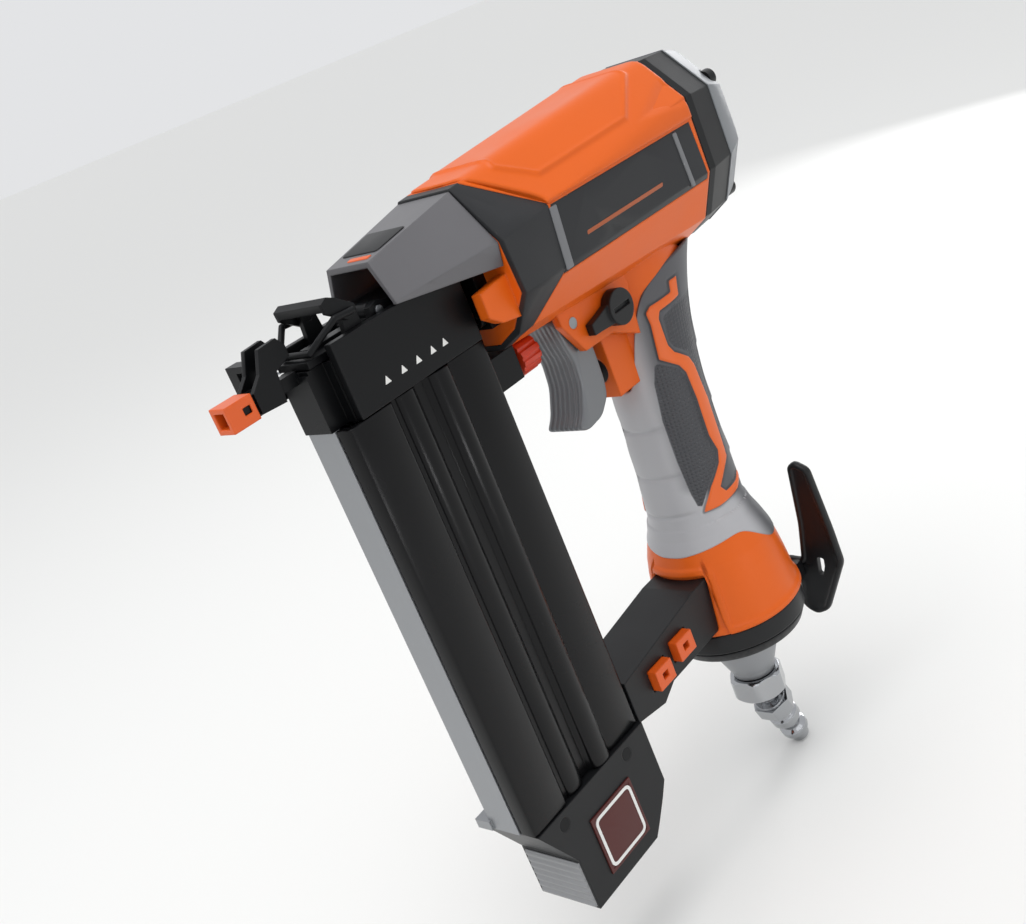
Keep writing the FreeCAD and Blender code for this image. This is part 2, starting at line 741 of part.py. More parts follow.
# ---------------------------------------------------------------- trigger group
def trigger():
    outline = [
        (PIVOT_Y - 4.7, PIVOT_Z + 3.4),
        (PIVOT_Y + 4.0, PIVOT_Z + 4.0),
        (PIVOT_Y + 7.8, PIVOT_Z - 3.0),
        (PIVOT_Y + 9.8, PIVOT_Z - 13.0),
        (PIVOT_Y + 9.4, PIVOT_Z - 25.0),
        (PIVOT_Y + 8.0, PIVOT_Z - 31.0),
        (PIVOT_Y + 2.0, PIVOT_Z - 36.0),
        (PIVOT_Y - 6.5, PIVOT_Z - 37.0),
        (PIVOT_Y - 11.0, PIVOT_Z - 35.0),
        (PIVOT_Y - 7.0, PIVOT_Z - 31.0),
        (PIVOT_Y - 2.6, PIVOT_Z - 22.0),
        (PIVOT_Y - 1.7, PIVOT_Z - 13.0),
        (PIVOT_Y - 3.6, PIVOT_Z - 5.5),
    ]
    shape = slab_x(outline, -TRIGGER_HALF, TRIGGER_HALF)
    hub_room = slab_x([
        (PIVOT_Y - 6.0, PIVOT_Z + 6.0), (PIVOT_Y + 9.0, PIVOT_Z + 6.0),
        (PIVOT_Y + 9.0, PIVOT_Z - 5.5), (PIVOT_Y - 6.0, PIVOT_Z - 5.5),
    ], -5.0, 5.0)
    pin_way = rod(PIN_RADIUS + RUN_GAP, (-20, PIVOT_Y, PIVOT_Z), (20, PIVOT_Y, PIVOT_Z))
    return shape.cut(hub_room).cut(pin_way)


def trigger_pin():
    return rod(PIN_RADIUS, (-ear_outer(), PIVOT_Y, PIVOT_Z), (ear_outer(), PIVOT_Y, PIVOT_Z))


def trigger_spring():
    body = coil(3.1, 0.45, 8.0, 6, (-4.0, PIVOT_Y, PIVOT_Z), (1, 0, 0))
    return body


def valve_rear():
    return VALVE_FRONT + 15.5


def trigger_valve_body():
    front = VALVE_FRONT
    shape = rod(VALVE_RADIUS, (0, front, VALVE_Z), (0, valve_rear(), VALVE_Z))
    stem_way = rod(STEM_RADIUS + RUN_GAP, (0, front - 1, VALVE_Z), (0, front + 5, VALVE_Z))
    room = rod(3.4, (0, front + 4, VALVE_Z), (0, valve_rear() + 1, VALVE_Z))
    shape = shape.cut(stem_way).cut(room)
    for y in seal_places():
        shape = shape.cut(tube(VALVE_RADIUS + 1, VALVE_RADIUS - 1.0, (0, y, VALVE_Z), (0, y + 1.6, VALVE_Z)))
    return shape


def seal_places():
    return [VALVE_FRONT + 2.0, VALVE_FRONT + 11.0]


def valve_seals():
    rings = [tube(VALVE_RADIUS, VALVE_RADIUS - 1.0, (0, y, VALVE_Z), (0, y + 1.6, VALVE_Z)) for y in seal_places()]
    return Part.makeCompound(rings)


def valve_stem():
    front = VALVE_FRONT
    stem = rod(STEM_RADIUS, (0, front - 5.2, VALVE_Z), (0, front + 6, VALVE_Z))
    head = rod(3.0, (0, front + 4.4, VALVE_Z), (0, front + 6.4, VALVE_Z))
    return stem.fuse(head)


def valve_spring():
    start = VALVE_FRONT + 6.6
    return coil(2.2, 0.35, valve_rear() - start, 6, (0, start, VALVE_Z), (0, 1, 0))


def mode_selector():
    """A knob with a pointer lever on the left cheek, on its own stem."""
    low = ear_outer() + TOUCH_GAP
    high = low + 4.2
    knob = rod(KNOB_RADIUS, (low, KNOB_Y, KNOB_Z), (high, KNOB_Y, KNOB_Z))
    lever = slab_x([
        (KNOB_Y, KNOB_Z + 4.6), (KNOB_Y - 12.0, KNOB_Z + 1.6), (KNOB_Y - 16.4, KNOB_Z + 0.6),
        (KNOB_Y - 16.4, KNOB_Z - 3.4), (KNOB_Y - 12.0, KNOB_Z - 3.6), (KNOB_Y, KNOB_Z - 4.6),
    ], low, high - 1.0)
    stem = rod(PIN_RADIUS, (ear_inner() + 0.2, KNOB_Y, KNOB_Z), (low + 1, KNOB_Y, KNOB_Z))
    slot = block((high - 1.2, high + 1), (KNOB_Y - 4.5, KNOB_Y + 4.5), (KNOB_Z - 0.8, KNOB_Z + 0.8))
    return fused([knob, lever, stem]).cut(slot)


# ---------------------------------------------------------------- nose
def nose_screw_places():
    return [(9.0, 11.5), (-9.0, 11.5), (9.0, -13.0), (-9.0, -13.0)]


def nose_flange_front():
    return BARREL_FRONT - 5.0


def nose_body():
    """The steel nose: snout, nail block, gate lugs and the flange that bolts to the housing."""
    snout = block((-SNOUT_HALF_WIDTH, SNOUT_HALF_WIDTH), (SNOUT_FRONT, NOSE_FRONT + 1), (-SNOUT_HALF_HEIGHT, SNOUT_HALF_HEIGHT))
    snout = snout.cut(block((-9, 9), (GATE_FRONT - 0.9, 60), (GATE_SEAT, 9)))
    nail_block = block((-NOSE_HALF, NOSE_HALF), (NOSE_FRONT + 7.0, 88.0), (MAG_TOP, GATE_SEAT))
    nose_face = block((-STRIP_HALF, STRIP_HALF), (NOSE_FRONT, NOSE_FRONT + 8.0), (MAG_TOP, -0.1))
    gate_step = block((-STRIP_HALF, STRIP_HALF), (GATE_FRONT - 0.5, NOSE_FRONT + 8.0), (-1.0, GATE_SEAT))
    root = block((-5.5, 5.5), (88.0, nose_flange_front() + 1), (-10.0, 8.0))
    roof = block((-9.0, 9.0), (62.0, 88.0), (-0.1, 8.0))
    flange = block((-12.6, 12.6), (nose_flange_front(), BARREL_FRONT), (-17.0, 16.0))
    lug_outline = [(GATE_PIN_Y - 4.0, -1.0), (GATE_PIN_Y - 3.0, GATE_PIN_Z + 2.0), (GATE_PIN_Y, GATE_PIN_Z + 3.0),
                   (GATE_PIN_Y + 4.5, GATE_PIN_Z + 1.8), (GATE_PIN_Y + 4.5, -1.0)]
    gate_lugs = both_sides(slab_x(lug_outline, 6.4, 9.0))
    ear_outline = [(BAIL_Y - 4.0, -1.0), (BAIL_Y - 2.6, BAIL_Z + 2.0), (BAIL_Y + 2.6, BAIL_Z + 2.0), (BAIL_Y + 4.0, -1.0)]
    bail_ears = both_sides(slab_x(ear_outline, 8.0, NOSE_HALF))
    shape = fused([nail_block, nose_face, gate_step, snout, root, roof, flange, gate_lugs, bail_ears])
    channel = block((-SLOT_HALF, SLOT_HALF), (0, BARREL_FRONT + 1), (-CHANNEL_HALF_HEIGHT, CHANNEL_HALF_HEIGHT))
    nail_way = block((-SLOT_HALF, SLOT_HALF), (MAG_FRONT + 2.5, 87.0), (MAG_TOP - 1, 0))
    shape = shape.cut(channel).cut(nail_way)
    shape = shape.cut(rod(GATE_PIN_RADIUS, (-20, GATE_PIN_Y, GATE_PIN_Z), (20, GATE_PIN_Y, GATE_PIN_Z)))
    shape = shape.cut(rod(WIRE_RADIUS + RUN_GAP, (-20, BAIL_Y, BAIL_Z), (20, BAIL_Y, BAIL_Z)))
    for x, z in nose_screw_places():
        shape = shape.cut(rod(1.6, (x, nose_flange_front() - 1, z), (x, BARREL_FRONT + 1, z)))
    return shape


def nose_screws():
    screws = []
    for x, z in nose_screw_places():
        shank = rod(1.6, (x, nose_flange_front(), z), (x, BARREL_FRONT + FRONT_WALL, z))
        head = rod(2.6, (x, nose_flange_front() - 2.4, z), (x, nose_flange_front(), z))
        socket = hexagon_y(1.2, x, z, nose_flange_front() - 3.0, nose_flange_front() - 1.2)
        screws.append(shank.fuse(head).cut(socket))
    return Part.makeCompound(screws)


def nose_side_plates():
    """Two black plates that carry the fastener size marks and close the nose's sides."""
    outline = [
        (NOSE_FRONT + 7.0, MAG_TOP + TOUCH_GAP), (NOSE_FRONT + 7.0, 6.0), (87.6, 6.0), (87.6, MAG_TOP + TOUCH_GAP),
    ]
    spring_stop = block((-18.4, -13.0), (SPRING_FRONT + SPRING_LENGTH, SPRING_FRONT + SPRING_LENGTH + 2.0), (-0.8, 4.2))
    far_plate = slab_x(outline, -13.2, -NOSE_HALF).fuse(spring_stop).removeSplitter()
    return Part.makeCompound([slab_x(outline, NOSE_HALF, 13.2), far_plate])


def nose_gate():
    """The plate over the nail channel that swings up to clear a jam."""
    low = GATE_SEAT + TOUCH_GAP
    plate = block((-7.4, 7.4), (GATE_FRONT, GATE_PIN_Y - 4.6), (low, 3.6))
    knuckle = rod(3.0, (-6.0, GATE_PIN_Y, GATE_PIN_Z), (6.0, GATE_PIN_Y, GATE_PIN_Z))
    web = block((-6.0, 6.0), (GATE_PIN_Y - 5.0, GATE_PIN_Y), (low, GATE_PIN_Z - 1.0))
    rib = block((-2.4, 2.4), (GATE_FRONT + 6.0, GATE_PIN_Y - 6.0), (3.5, 5.2))
    shape = fused([plate, knuckle, web, rib])
    return shape.cut(rod(GATE_PIN_RADIUS + RUN_GAP, (-20, GATE_PIN_Y, GATE_PIN_Z), (20, GATE_PIN_Y, GATE_PIN_Z)))


def gate_hinge_pin():
    return rod(GATE_PIN_RADIUS, (-9.6, GATE_PIN_Y, GATE_PIN_Z), (9.6, GATE_PIN_Y, GATE_PIN_Z))


def wire(points, radius):
    """A round wire through points, with a ball at each bend."""
    pieces = [rod(radius, a, b) for a, b in zip(points, points[1:])]
    pieces += [Part.makeSphere(radius, Vec(*p)) for p in points[1:-1]]
    return fused(pieces)


def latch_bail():
    """The bent wire that holds the gate down."""
    side = NOSE_HALF + 2.6
    points = [
        (NOSE_HALF - 1.8, BAIL_Y, BAIL_Z), (side, BAIL_Y, BAIL_Z), (side, BAIL_Y - 7.0, BAIL_Z + 0.5),
        (side - 3.4, BAIL_Y - 12.4, BAIL_Z - 3.4), (6.5, BAIL_Y - 15.2, BAIL_Z - 6.0),
        (0, BAIL_Y - 15.2, BAIL_Z - 6.0),
    ]
    other = [(-x, y, z) for x, y, z in reversed(points[:-1])]
    return wire(points + other, WIRE_RADIUS)


def latch_lever():
    """The thumb lever: two arms outside the ears and a pad across them, carried on the bail."""
    arm_outline = [
        (BAIL_Y - 8.4, BAIL_Z + 2.4), (BAIL_Y - 8.6, BAIL_Z + 5.4), (BAIL_Y - 6.0, BAIL_Z + 6.6),
        (BAIL_Y - 3.4, BAIL_Z + 5.4), (BAIL_Y + 2.4, BAIL_Z + 1.2), (BAIL_Y + 2.2, BAIL_Z - 1.6),
        (BAIL_Y - 1.6, BAIL_Z - 2.2),
    ]
    pad_outline = [
        (BAIL_Y - 8.4, BAIL_Z + 3.0), (BAIL_Y - 8.6, BAIL_Z + 5.4), (BAIL_Y - 6.0, BAIL_Z + 6.6),
        (BAIL_Y - 3.8, BAIL_Z + 5.4), (BAIL_Y - 3.8, BAIL_Z + 3.0),
    ]
    inner = NOSE_HALF + TOUCH_GAP
    arms = both_sides(slab_x(arm_outline, inner, inner + 1.2))
    pad = slab_x(pad_outline, -inner - 0.6, inner + 0.6)
    shape = fused([arms, pad])
    return shape.cut(rod(WIRE_RADIUS, (-20, BAIL_Y, BAIL_Z), (20, BAIL_Y, BAIL_Z)))


def arm_sleeve_half():
    """Outer half width and half height of the contact arm's sleeve."""
    return (SNOUT_HALF_WIDTH + SNOUT_GAP + SLEEVE_THICK, SNOUT_HALF_HEIGHT + SNOUT_GAP + SLEEVE_THICK)


def work_contact_arm():
    """The sliding arm: sleeve round the snout, cheeks, far-side strap and adjuster block."""
    inner_x = SNOUT_HALF_WIDTH + SNOUT_GAP
    inner_z = SNOUT_HALF_HEIGHT + SNOUT_GAP
    outer_x, outer_z = arm_sleeve_half()
    sleeve = block((-outer_x, outer_x), (4.0, 18.0), (-outer_z, outer_z))
    sleeve = sleeve.cut(block((-inner_x, inner_x), (0, 60), (-inner_z, inner_z)))
    cheek = slab_x([
        (10.2, -outer_z), (10.2, outer_z), (14.5, 6.8), (17.5, 13.0), (24.0, 13.4),
        (26.0, 10.5), (26.0, 7.2), (20.0, 5.2), (19.0, -outer_z - 0.6),
    ], inner_x + 0.2, inner_x + 2.0)
    web = block((-15.6, outer_x), (19.0, SPRING_FRONT), (6.2, 8.2))
    drop = block((-18.2, -13.7), (19.0, SPRING_FRONT), (-8.0, 8.2))
    strap = block((-15.6, -13.7), (19.0, 90.8), (-8.0, -1.5))
    leg = block((-15.6, -13.7), (86.0, 90.8), (ROD_Z - 4.0, -1.5))
    inward = block((-15.6, 6.0), (MAG_REAR + 0.5, MAG_REAR + 2.5), (ROD_Z - 4.0, ROD_Z + 4.0))
    adjuster = block((-6.0, 6.0), (MAG_REAR + 1.5, WHEEL_FRONT - 2.0), (ROD_Z - 5.0, ROD_Z + 6.6))
    thread = rod(ROD_RADIUS, (0, WHEEL_FRONT - 3.0, ROD_Z), (0, WHEEL_FRONT + WHEEL_WIDTH + 1.0, ROD_Z))
    return fused([sleeve, cheek, mirrored(cheek), web, drop, strap, leg, inward, adjuster, thread])


def no_mar_tip():
    """The soft tip pushed over the arm's sleeve, open for the brad and windowed at its sides."""
    inner_x, inner_z = arm_sleeve_half()
    push = 0.03
    shape = block((-inner_x - SLEEVE_THICK, inner_x + SLEEVE_THICK), (0, 9.6), (-inner_z - SLEEVE_THICK, inner_z + SLEEVE_THICK))
    shape = shape.cut(block((-inner_x - push, inner_x + push), (3.8, 20), (-inner_z - push, inner_z + push)))
    hole_x = SNOUT_HALF_WIDTH + SNOUT_GAP
    hole_z = SNOUT_HALF_HEIGHT + SNOUT_GAP
    shape = shape.cut(block((-hole_x, hole_x), (-1, 5), (-hole_z, hole_z)))
    window = block((-20, 20), (5.4, 8.0), (-1.0, 1.2))
    return shape.cut(window)


def contact_spring():
    return coil(2.2, 0.4, SPRING_LENGTH, 9, (-16.1, SPRING_FRONT, 1.6), (0, 1, 0))


def depth_wheel():
    wheel = rod(WHEEL_RADIUS, (0, WHEEL_FRONT, ROD_Z), (0, WHEEL_FRONT + WHEEL_WIDTH, ROD_Z))
    for k in range(12):
        angle = k * math.pi / 6
        x = WHEEL_RADIUS * 1.06 * math.cos(angle)
        z = ROD_Z + WHEEL_RADIUS * 1.06 * math.sin(angle)
        wheel = wheel.cut(rod(0.9, (x, WHEEL_FRONT - 1, z), (x, WHEEL_FRONT + WHEEL_WIDTH + 1, z)))
    return wheel.cut(rod(ROD_RADIUS + RUN_GAP, (0, WHEEL_FRONT - 1, ROD_Z), (0, WHEEL_FRONT + WHEEL_WIDTH + 1, ROD_Z)))


# ---------------------------------------------------------------- magazine
def magazine_rail():
    """The fixed aluminium half: front strip, far wall, web beside the nail channel and foot."""
    front = MAG_FRONT
    shape = fused([
        block((-STRIP_HALF, STRIP_HALF), (front, front + MAG_WALL), (MAG_END, MAG_TOP)),
        slab_z([(-STRIP_HALF, front), (-MAG_HALF, front + 9.0), (-MAG_HALF, front + 12.0),
                (-MAG_HALF + MAG_WALL, front + 12.0), (-STRIP_HALF + 0.5, front + MAG_WALL)], MAG_END, MAG_TOP),
        block((-MAG_HALF, -MAG_HALF + MAG_WALL), (front + 10.0, MAG_REAR), (MAG_END, MAG_TOP)),
        block((-MAG_HALF, -0.9), (MAG_REAR - MAG_WALL, MAG_REAR), (MAG_END, MAG_TOP)),
        block((-3.2, -SLOT_HALF), (front + 1.0, MAG_REAR - 1.0), (MAG_END, MAG_TOP)),
        block((-MAG_HALF + 1.0, -3.0), (46.0, 48.0), (MAG_END, MAG_TOP)),
        block((-MAG_HALF + 1.0, -3.0), (68.0, 70.0), (MAG_END, MAG_TOP)),
    ])
    foot = block((-MAG_HALF + 1.0, -STRIP_HALF + 1.0), (front - 1.0, front + 6.0), (MAG_END, MAG_END + 3.6))
    return shape.fuse(foot).removeSplitter()


def cover_outline():
    """The cover's outer side from front to rear as (x, y) points: flat, two ridges, flat."""
    face = MAG_HALF
    points = [(STRIP_HALF + TOUCH_GAP, MAG_FRONT + 0.4), (face - 1.2, MAG_FRONT + 0.4), (face, MAG_FRONT + 2.0)]
    points += [(face, 45.0), (face - 1.8, 46.6), (face - 1.8, 48.0)]
    points += ridge(52.0, 4.0, face - 1.8, 1.4)
    points += [(face - 1.8, 56.0), (face - 2.6, 57.2), (face - 2.6, 61.0), (face - 1.6, 62.4)]
    points += ridge(67.0, 4.6, face - 1.6, 2.2)
    points += [(face - 1.6, 71.6), (face - 1.0, 73.4), (face - 1.0, MAG_REAR - 1.0), (face - 2.0, MAG_REAR)]
    return points


def ridge(centre, half, base, rise):
    """Points over a rounded ridge."""
    steps = 6
    return [(base + rise * math.sin(math.pi * k / steps), centre - half * math.cos(math.pi * k / steps)) for k in range(steps + 1)]


def magazine_cover():
    """The sliding black half: outer skin with ridges and two guide walls, open towards the rail."""
    outside = cover_outline()
    low_x = SLOT_HALF + 0.05
    profile = outside + [(-0.5, MAG_REAR), (-0.5, MAG_REAR - 1.6), (low_x, MAG_REAR - 1.6), (low_x, MAG_FRONT + 2.4), (STRIP_HALF + TOUCH_GAP, MAG_FRONT + 2.4)]
    solid = slab_z(profile, MAG_END, MAG_TOP)
    room = slab_z([(low_x + 1.4, 31.6), (MAG_HALF - 2.2, 31.6), (MAG_HALF - 2.2, 44.4), (MAG_HALF - 4.4, 46.0),
                   (MAG_HALF - 4.4, 73.6), (MAG_HALF - 3.0, 75.0), (MAG_HALF - 3.0, MAG_REAR - 3.2), (low_x + 1.4, MAG_REAR - 3.2)],
                  MAG_END - 1, MAG_TOP + 1)
    pusher_way = block((0, low_x + 2.0), (38.0, 80.0), (MAG_END - 1, MAG_TOP + 1))
    return solid.cut(room).cut(pusher_way)


def magazine_end_cap():
    """The shoe at the magazine's lower end, with a slanted front and a rear pocket for the latch."""
    top = MAG_END - TOUCH_GAP - 0.2
    outline = [
        (MAG_FRONT + 1.0, top), (MAG_REAR, top), (MAG_REAR, CAP_END + 15.0), (MAG_REAR - 4.0, CAP_END + 10.0),
        (MAG_REAR - 10.0, CAP_END + 3.5), (MAG_REAR - 13.5, CAP_END), (MAG_FRONT + 12.5, CAP_END),
        (MAG_FRONT + 12.5, CAP_END + 21.0),
    ]
    half = MAG_HALF + 0.5
    shape = slab_x(outline, -half, half)
    hollow = block((-half + 2.5, half - 2.5), (MAG_FRONT + 17.0, MAG_REAR - 9.0), (CAP_END + 6.0, top - 3.0))
    pocket = block((-5.6, 5.6), (MAG_REAR - 6.0, MAG_REAR + 1), (CAP_END + 8.0, CAP_END + 31.0))
    shape = shape.cut(hollow).cut(pocket)
    pin_way = rod(1.5, (-9, MAG_REAR - 2.6, latch_z()), (9, MAG_REAR - 2.6, latch_z()))
    return shape.cut(pin_way).cut(Part.makeCompound(cover_screw_solids()))


def latch_z():
    return CAP_END + 25.0


def magazine_latch():
    """The thumb latch in the end cap's back."""
    y = MAG_REAR
    z = latch_z()
    outline = [
        (y - 4.6, z + 3.6), (y + 1.0, z + 3.6), (y + 5.6, z - 1.0), (y + 6.2, z - 8.0),
        (y + 4.0, z - 15.0), (y + 1.4, z - 15.6), (y - 0.6, z - 9.0), (y - 4.6, z - 3.6),
    ]
    shape = slab_x(outline, -5.2, 5.2)
    return shape.cut(rod(1.5 + RUN_GAP, (-9, y - 2.6, z), (9, y - 2.6, z)))


def latch_pin():
    return rod(1.5, (-9, MAG_REAR - 2.6, latch_z()), (9, MAG_REAR - 2.6, latch_z()))


def latch_spring():
    return coil(2.0, 0.4, 4.2, 3, (0, MAG_REAR - 6.0, latch_z() - 9.5), (0, 1, 0))


def cover_screw_solids():
    screws = []
    for y in (MAG_FRONT + 13.0, MAG_REAR - 12.0):
        z = MAG_END - 5.0
        shank = rod(1.3, (MAG_HALF - 7.0, y, z), (MAG_HALF, y, z))
        head = rod(2.4, (MAG_HALF - 1.2, y, z), (MAG_HALF + 0.5, y, z))
        screws.append(shank.fuse(head))
    return screws


def cover_screws():
    return Part.makeCompound(cover_screw_solids())


def label_plate():
    """A blank framed badge on the end cap's left side."""
    low = MAG_HALF + 0.5
    y0 = 50.4
    z0 = MAG_END - 12.0
    plate = block((low, low + 0.6), (y0, y0 + LABEL_SIDE), (z0 - LABEL_SIDE, z0))
    field = block((low + 0.4, low + 1), (y0 + 1.2, y0 + LABEL_SIDE - 1.2), (z0 - LABEL_SIDE + 1.2, z0 - 1.2))
    return plate.cut(field)


def pusher():
    """The follower that presses the nail strip up into the nose."""
    top = MAG_TOP - 2.0
    tongue = block((-0.6, 2.0), (38.6, 79.4), (top - 22.0, top))
    carriage = block((1.6, MAG_HALF - 4.9), (46.6, 73.0), (top - 22.0, top - 4.0))
    roll_room = rod(5.6, (3.2, 60.0, top - 17.0), (MAG_HALF, 60.0, top - 17.0))
    ribbon_way = block((3.2, MAG_HALF), (63.6, 64.8), (top - 17.0, top + 1))
    return tongue.fuse(carriage).cut(roll_room).cut(ribbon_way)


def pusher_spring():
    """The rolled steel ribbon in the pusher, with its free end towards the top."""
    z = MAG_TOP - 19.0
    roll = tube(4.6, 2.2, (3.4, 60.0, z), (MAG_HALF - 5.0, 60.0, z))
    tail = block((3.4, MAG_HALF - 5.0), (63.9, 64.5), (z, MAG_TOP - 7.0))
    return roll.fuse(tail)


def bracket_screw_places():
    middle = 0.5 * (BRACKET_TOP + BRACKET_END)
    return [(middle, -6.0), (middle, 6.0)]


def bracket_screw_ways():
    return [rod(1.8, (x, BRACKET_REAR - 1, z), (x, BRACKET_REAR + 7, z)) for z, x in bracket_screw_places()]


def magazine_bracket():
    """The arm between the magazine and the foot of the handle."""
    outline = [
        (MAG_REAR, BRACKET_TOP - 6.0), (MAG_REAR + 50.0, BRACKET_TOP), (BRACKET_REAR, BRACKET_TOP), (BRACKET_REAR, BRACKET_END),
        (MAG_REAR + 24.0, BRACKET_END), (MAG_REAR + 16.0, BRACKET_END - 4.0), (MAG_REAR, BRACKET_END - 1.0),
    ]
    shape = slab_x(outline, -BRACKET_HALF, BRACKET_HALF)
    shape = shape.cut(block((-0.9, 20.0), (0, MAG_REAR + 0.5), (-300, 0)))
    hollow = block((-BRACKET_HALF + 2.5, 2.0), (MAG_REAR + 4.0, BRACKET_REAR - 6.0), (BRACKET_END + 3.0, BRACKET_TOP - 8.5))
    screw_room = block((-BRACKET_HALF + 2.5, BRACKET_HALF - 2.5), (BRACKET_REAR - 17.0, BRACKET_REAR - 6.0),
                       (BRACKET_END + 3.0, BRACKET_TOP - 4.0))
    shape = shape.cut(hollow).cut(screw_room)
    for y, z in SPARE_TIPS:
        shape = shape.cut(block((5.0, 20.0), (y - 5.4, y + 5.4), (z - 4.4, z + 4.4)))
        peg = block((4.0, 11.0), (y - 2.0, y + 2.0), (z - 1.8, z + 1.8))
        shape = shape.fuse(peg)
    for tool in bracket_screw_heads(0.2):
        shape = shape.cut(tool)
    return shape


def bracket_screw_heads(slack):
    """Screws through the bracket's rear wall into the flare, with their heads inside the bracket."""
    screws = []
    for z, x in bracket_screw_places():
        shank = rod(1.8, (x, BRACKET_REAR - 6.0, z), (x, BRACKET_REAR + 7, z))
        head = rod(3.0 + slack, (x, BRACKET_REAR - 9.0, z), (x, BRACKET_REAR - 4.0, z))
        screws.append(shank.fuse(head))
    return screws


def bracket_screws():
    return Part.makeCompound(bracket_screw_heads(0.0))


def spare_tip(y, z):
    """A spare no-mar tip pushed over a peg on the bracket."""
    shape = block((5.4, 15.4), (y - 4.9, y + 4.9), (z - 4.0, z + 4.0))
    shape = shape.cut(block((0, 12.0), (y - 2.05, y + 2.05), (z - 1.85, z + 1.85)))
    return shape.cut(block((11.0, 20.0), (y - 1.6, y + 1.6), (z - 1.3, z + 1.3)))


# ---------------------------------------------------------------- all nodes
def main():
    os.makedirs("parts", exist_ok=True)
    nodes = {
        "body_housing": body_housing(),
        "front_collar": front_collar(),
        "side_panel_left": side_panel(),
        "side_panel_right": mirrored(side_panel()),
        "nose_shroud": nose_shroud(),
        "rear_gasket": rear_gasket(),
        "rear_ring": rear_ring(),
        "rear_cap": rear_cap(),
        "cap_screws": cap_screws(),
        "cylinder_sleeve": cylinder_sleeve(),
        "sleeve_seals": sleeve_seals(),
        "bumper": bumper(),
        "piston": piston(),
        "piston_o_ring": piston_o_ring(),
        "driver_blade": driver_blade(),
        "head_valve": head_valve(),
        "head_valve_seal": head_valve_seal(),
        "head_valve_spring": head_valve_spring(),
        "grip_sleeve": grip_sleeve(),
        "handle_end_cap": handle_end_cap(),
        "end_cap_screws": end_cap_screws(),
        "air_filter": air_filter(),
        "inlet_bushing": inlet_bushing(),
        "swivel_body": swivel_body(),
        "air_plug": air_plug(),
        "belt_hook": belt_hook(),
        "trigger": trigger(),
        "trigger_pin": trigger_pin(),
        "trigger_spring": trigger_spring(),
        "trigger_valve_body": trigger_valve_body(),
        "valve_seals": valve_seals(),
        "valve_stem": valve_stem(),
        "valve_spring": valve_spring(),
        "mode_selector": mode_selector(),
        "nose_body": nose_body(),
        "nose_screws": nose_screws(),
        "nose_side_plates": nose_side_plates(),
        "nose_gate": nose_gate(),
        "gate_hinge_pin": gate_hinge_pin(),
        "latch_bail": latch_bail(),
        "latch_lever": latch_lever(),
        "work_contact_arm": work_contact_arm(),
        "no_mar_tip": no_mar_tip(),
        "contact_spring": contact_spring(),
        "depth_wheel": depth_wheel(),
        "magazine_rail": magazine_rail(),
        "magazine_cover": magazine_cover(),
        "magazine_end_cap": magazine_end_cap(),
        "cover_screws": cover_screws(),
        "label_plate": label_plate(),
        "pusher": pusher(),
        "pusher_spring": pusher_spring(),
        "magazine_latch": magazine_latch(),
        "latch_pin": latch_pin(),
        "latch_spring": latch_spring(),
        "magazine_bracket": magazine_bracket(),
        "bracket_screws": bracket_screws(),
        "spare_tip_front": spare_tip(*SPARE_TIPS[0]),
        "spare_tip_rear": spare_tip(*SPARE_TIPS[1]),
    }
    for name, shape in nodes.items():
        write(name, shape)
        print(name, len(shape.Solids), round(shape.Volume, 1), shape.isValid())


main()
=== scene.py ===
"""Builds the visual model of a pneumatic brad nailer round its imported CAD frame.

The frame is in metres and the sizes below are in millimetres. +Z is up, the nose points along -Y,
and +X is the tool's left side. The origin is the centre of the tip's front face.
"""

import json
import logging
import math
from collections.abc import Callable
from dataclasses import dataclass
from enum import Enum

import bmesh
import bpy
import numpy as np
from mathutils import Matrix, Vector


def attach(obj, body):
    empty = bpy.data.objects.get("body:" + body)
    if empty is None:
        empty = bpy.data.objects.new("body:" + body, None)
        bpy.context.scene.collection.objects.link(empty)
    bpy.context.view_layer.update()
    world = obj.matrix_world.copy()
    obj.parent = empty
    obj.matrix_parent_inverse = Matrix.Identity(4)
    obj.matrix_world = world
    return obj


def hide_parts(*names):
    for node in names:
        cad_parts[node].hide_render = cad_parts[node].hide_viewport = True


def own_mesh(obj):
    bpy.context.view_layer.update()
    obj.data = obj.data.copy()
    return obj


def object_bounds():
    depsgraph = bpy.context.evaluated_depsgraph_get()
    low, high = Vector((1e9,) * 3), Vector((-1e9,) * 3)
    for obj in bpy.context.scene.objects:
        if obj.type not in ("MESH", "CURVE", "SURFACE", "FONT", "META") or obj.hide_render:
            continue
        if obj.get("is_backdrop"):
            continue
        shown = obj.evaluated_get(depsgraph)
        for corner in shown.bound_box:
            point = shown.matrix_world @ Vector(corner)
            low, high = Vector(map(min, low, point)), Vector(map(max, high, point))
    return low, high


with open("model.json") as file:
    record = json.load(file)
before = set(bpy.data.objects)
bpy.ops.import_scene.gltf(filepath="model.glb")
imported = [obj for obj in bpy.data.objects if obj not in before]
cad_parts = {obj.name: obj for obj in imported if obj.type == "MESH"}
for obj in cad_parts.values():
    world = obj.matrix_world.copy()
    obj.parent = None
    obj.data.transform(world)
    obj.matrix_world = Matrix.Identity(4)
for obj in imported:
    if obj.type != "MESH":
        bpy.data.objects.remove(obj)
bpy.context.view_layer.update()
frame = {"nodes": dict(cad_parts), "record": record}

LOG = logging.getLogger("brad_nailer")
MM = 0.001
# Spacing of the slow drift in tone and roughness.
CLOUD_MM = 30.0
# Die and grinding lines run along Z: the grain is stretched fifty times there.
LINE_SQUEEZE = 0.02
LEAST_DEPTH_MM = 0.001
# Spacing of the grip's dots. The real ones are about 1.1 mm apart, and a little more lets them show.
DOT_PITCH = 1.5
# How far in the distance an inner wall's points are from every zone of the grip.
FAR_OUTSIDE = -9.0


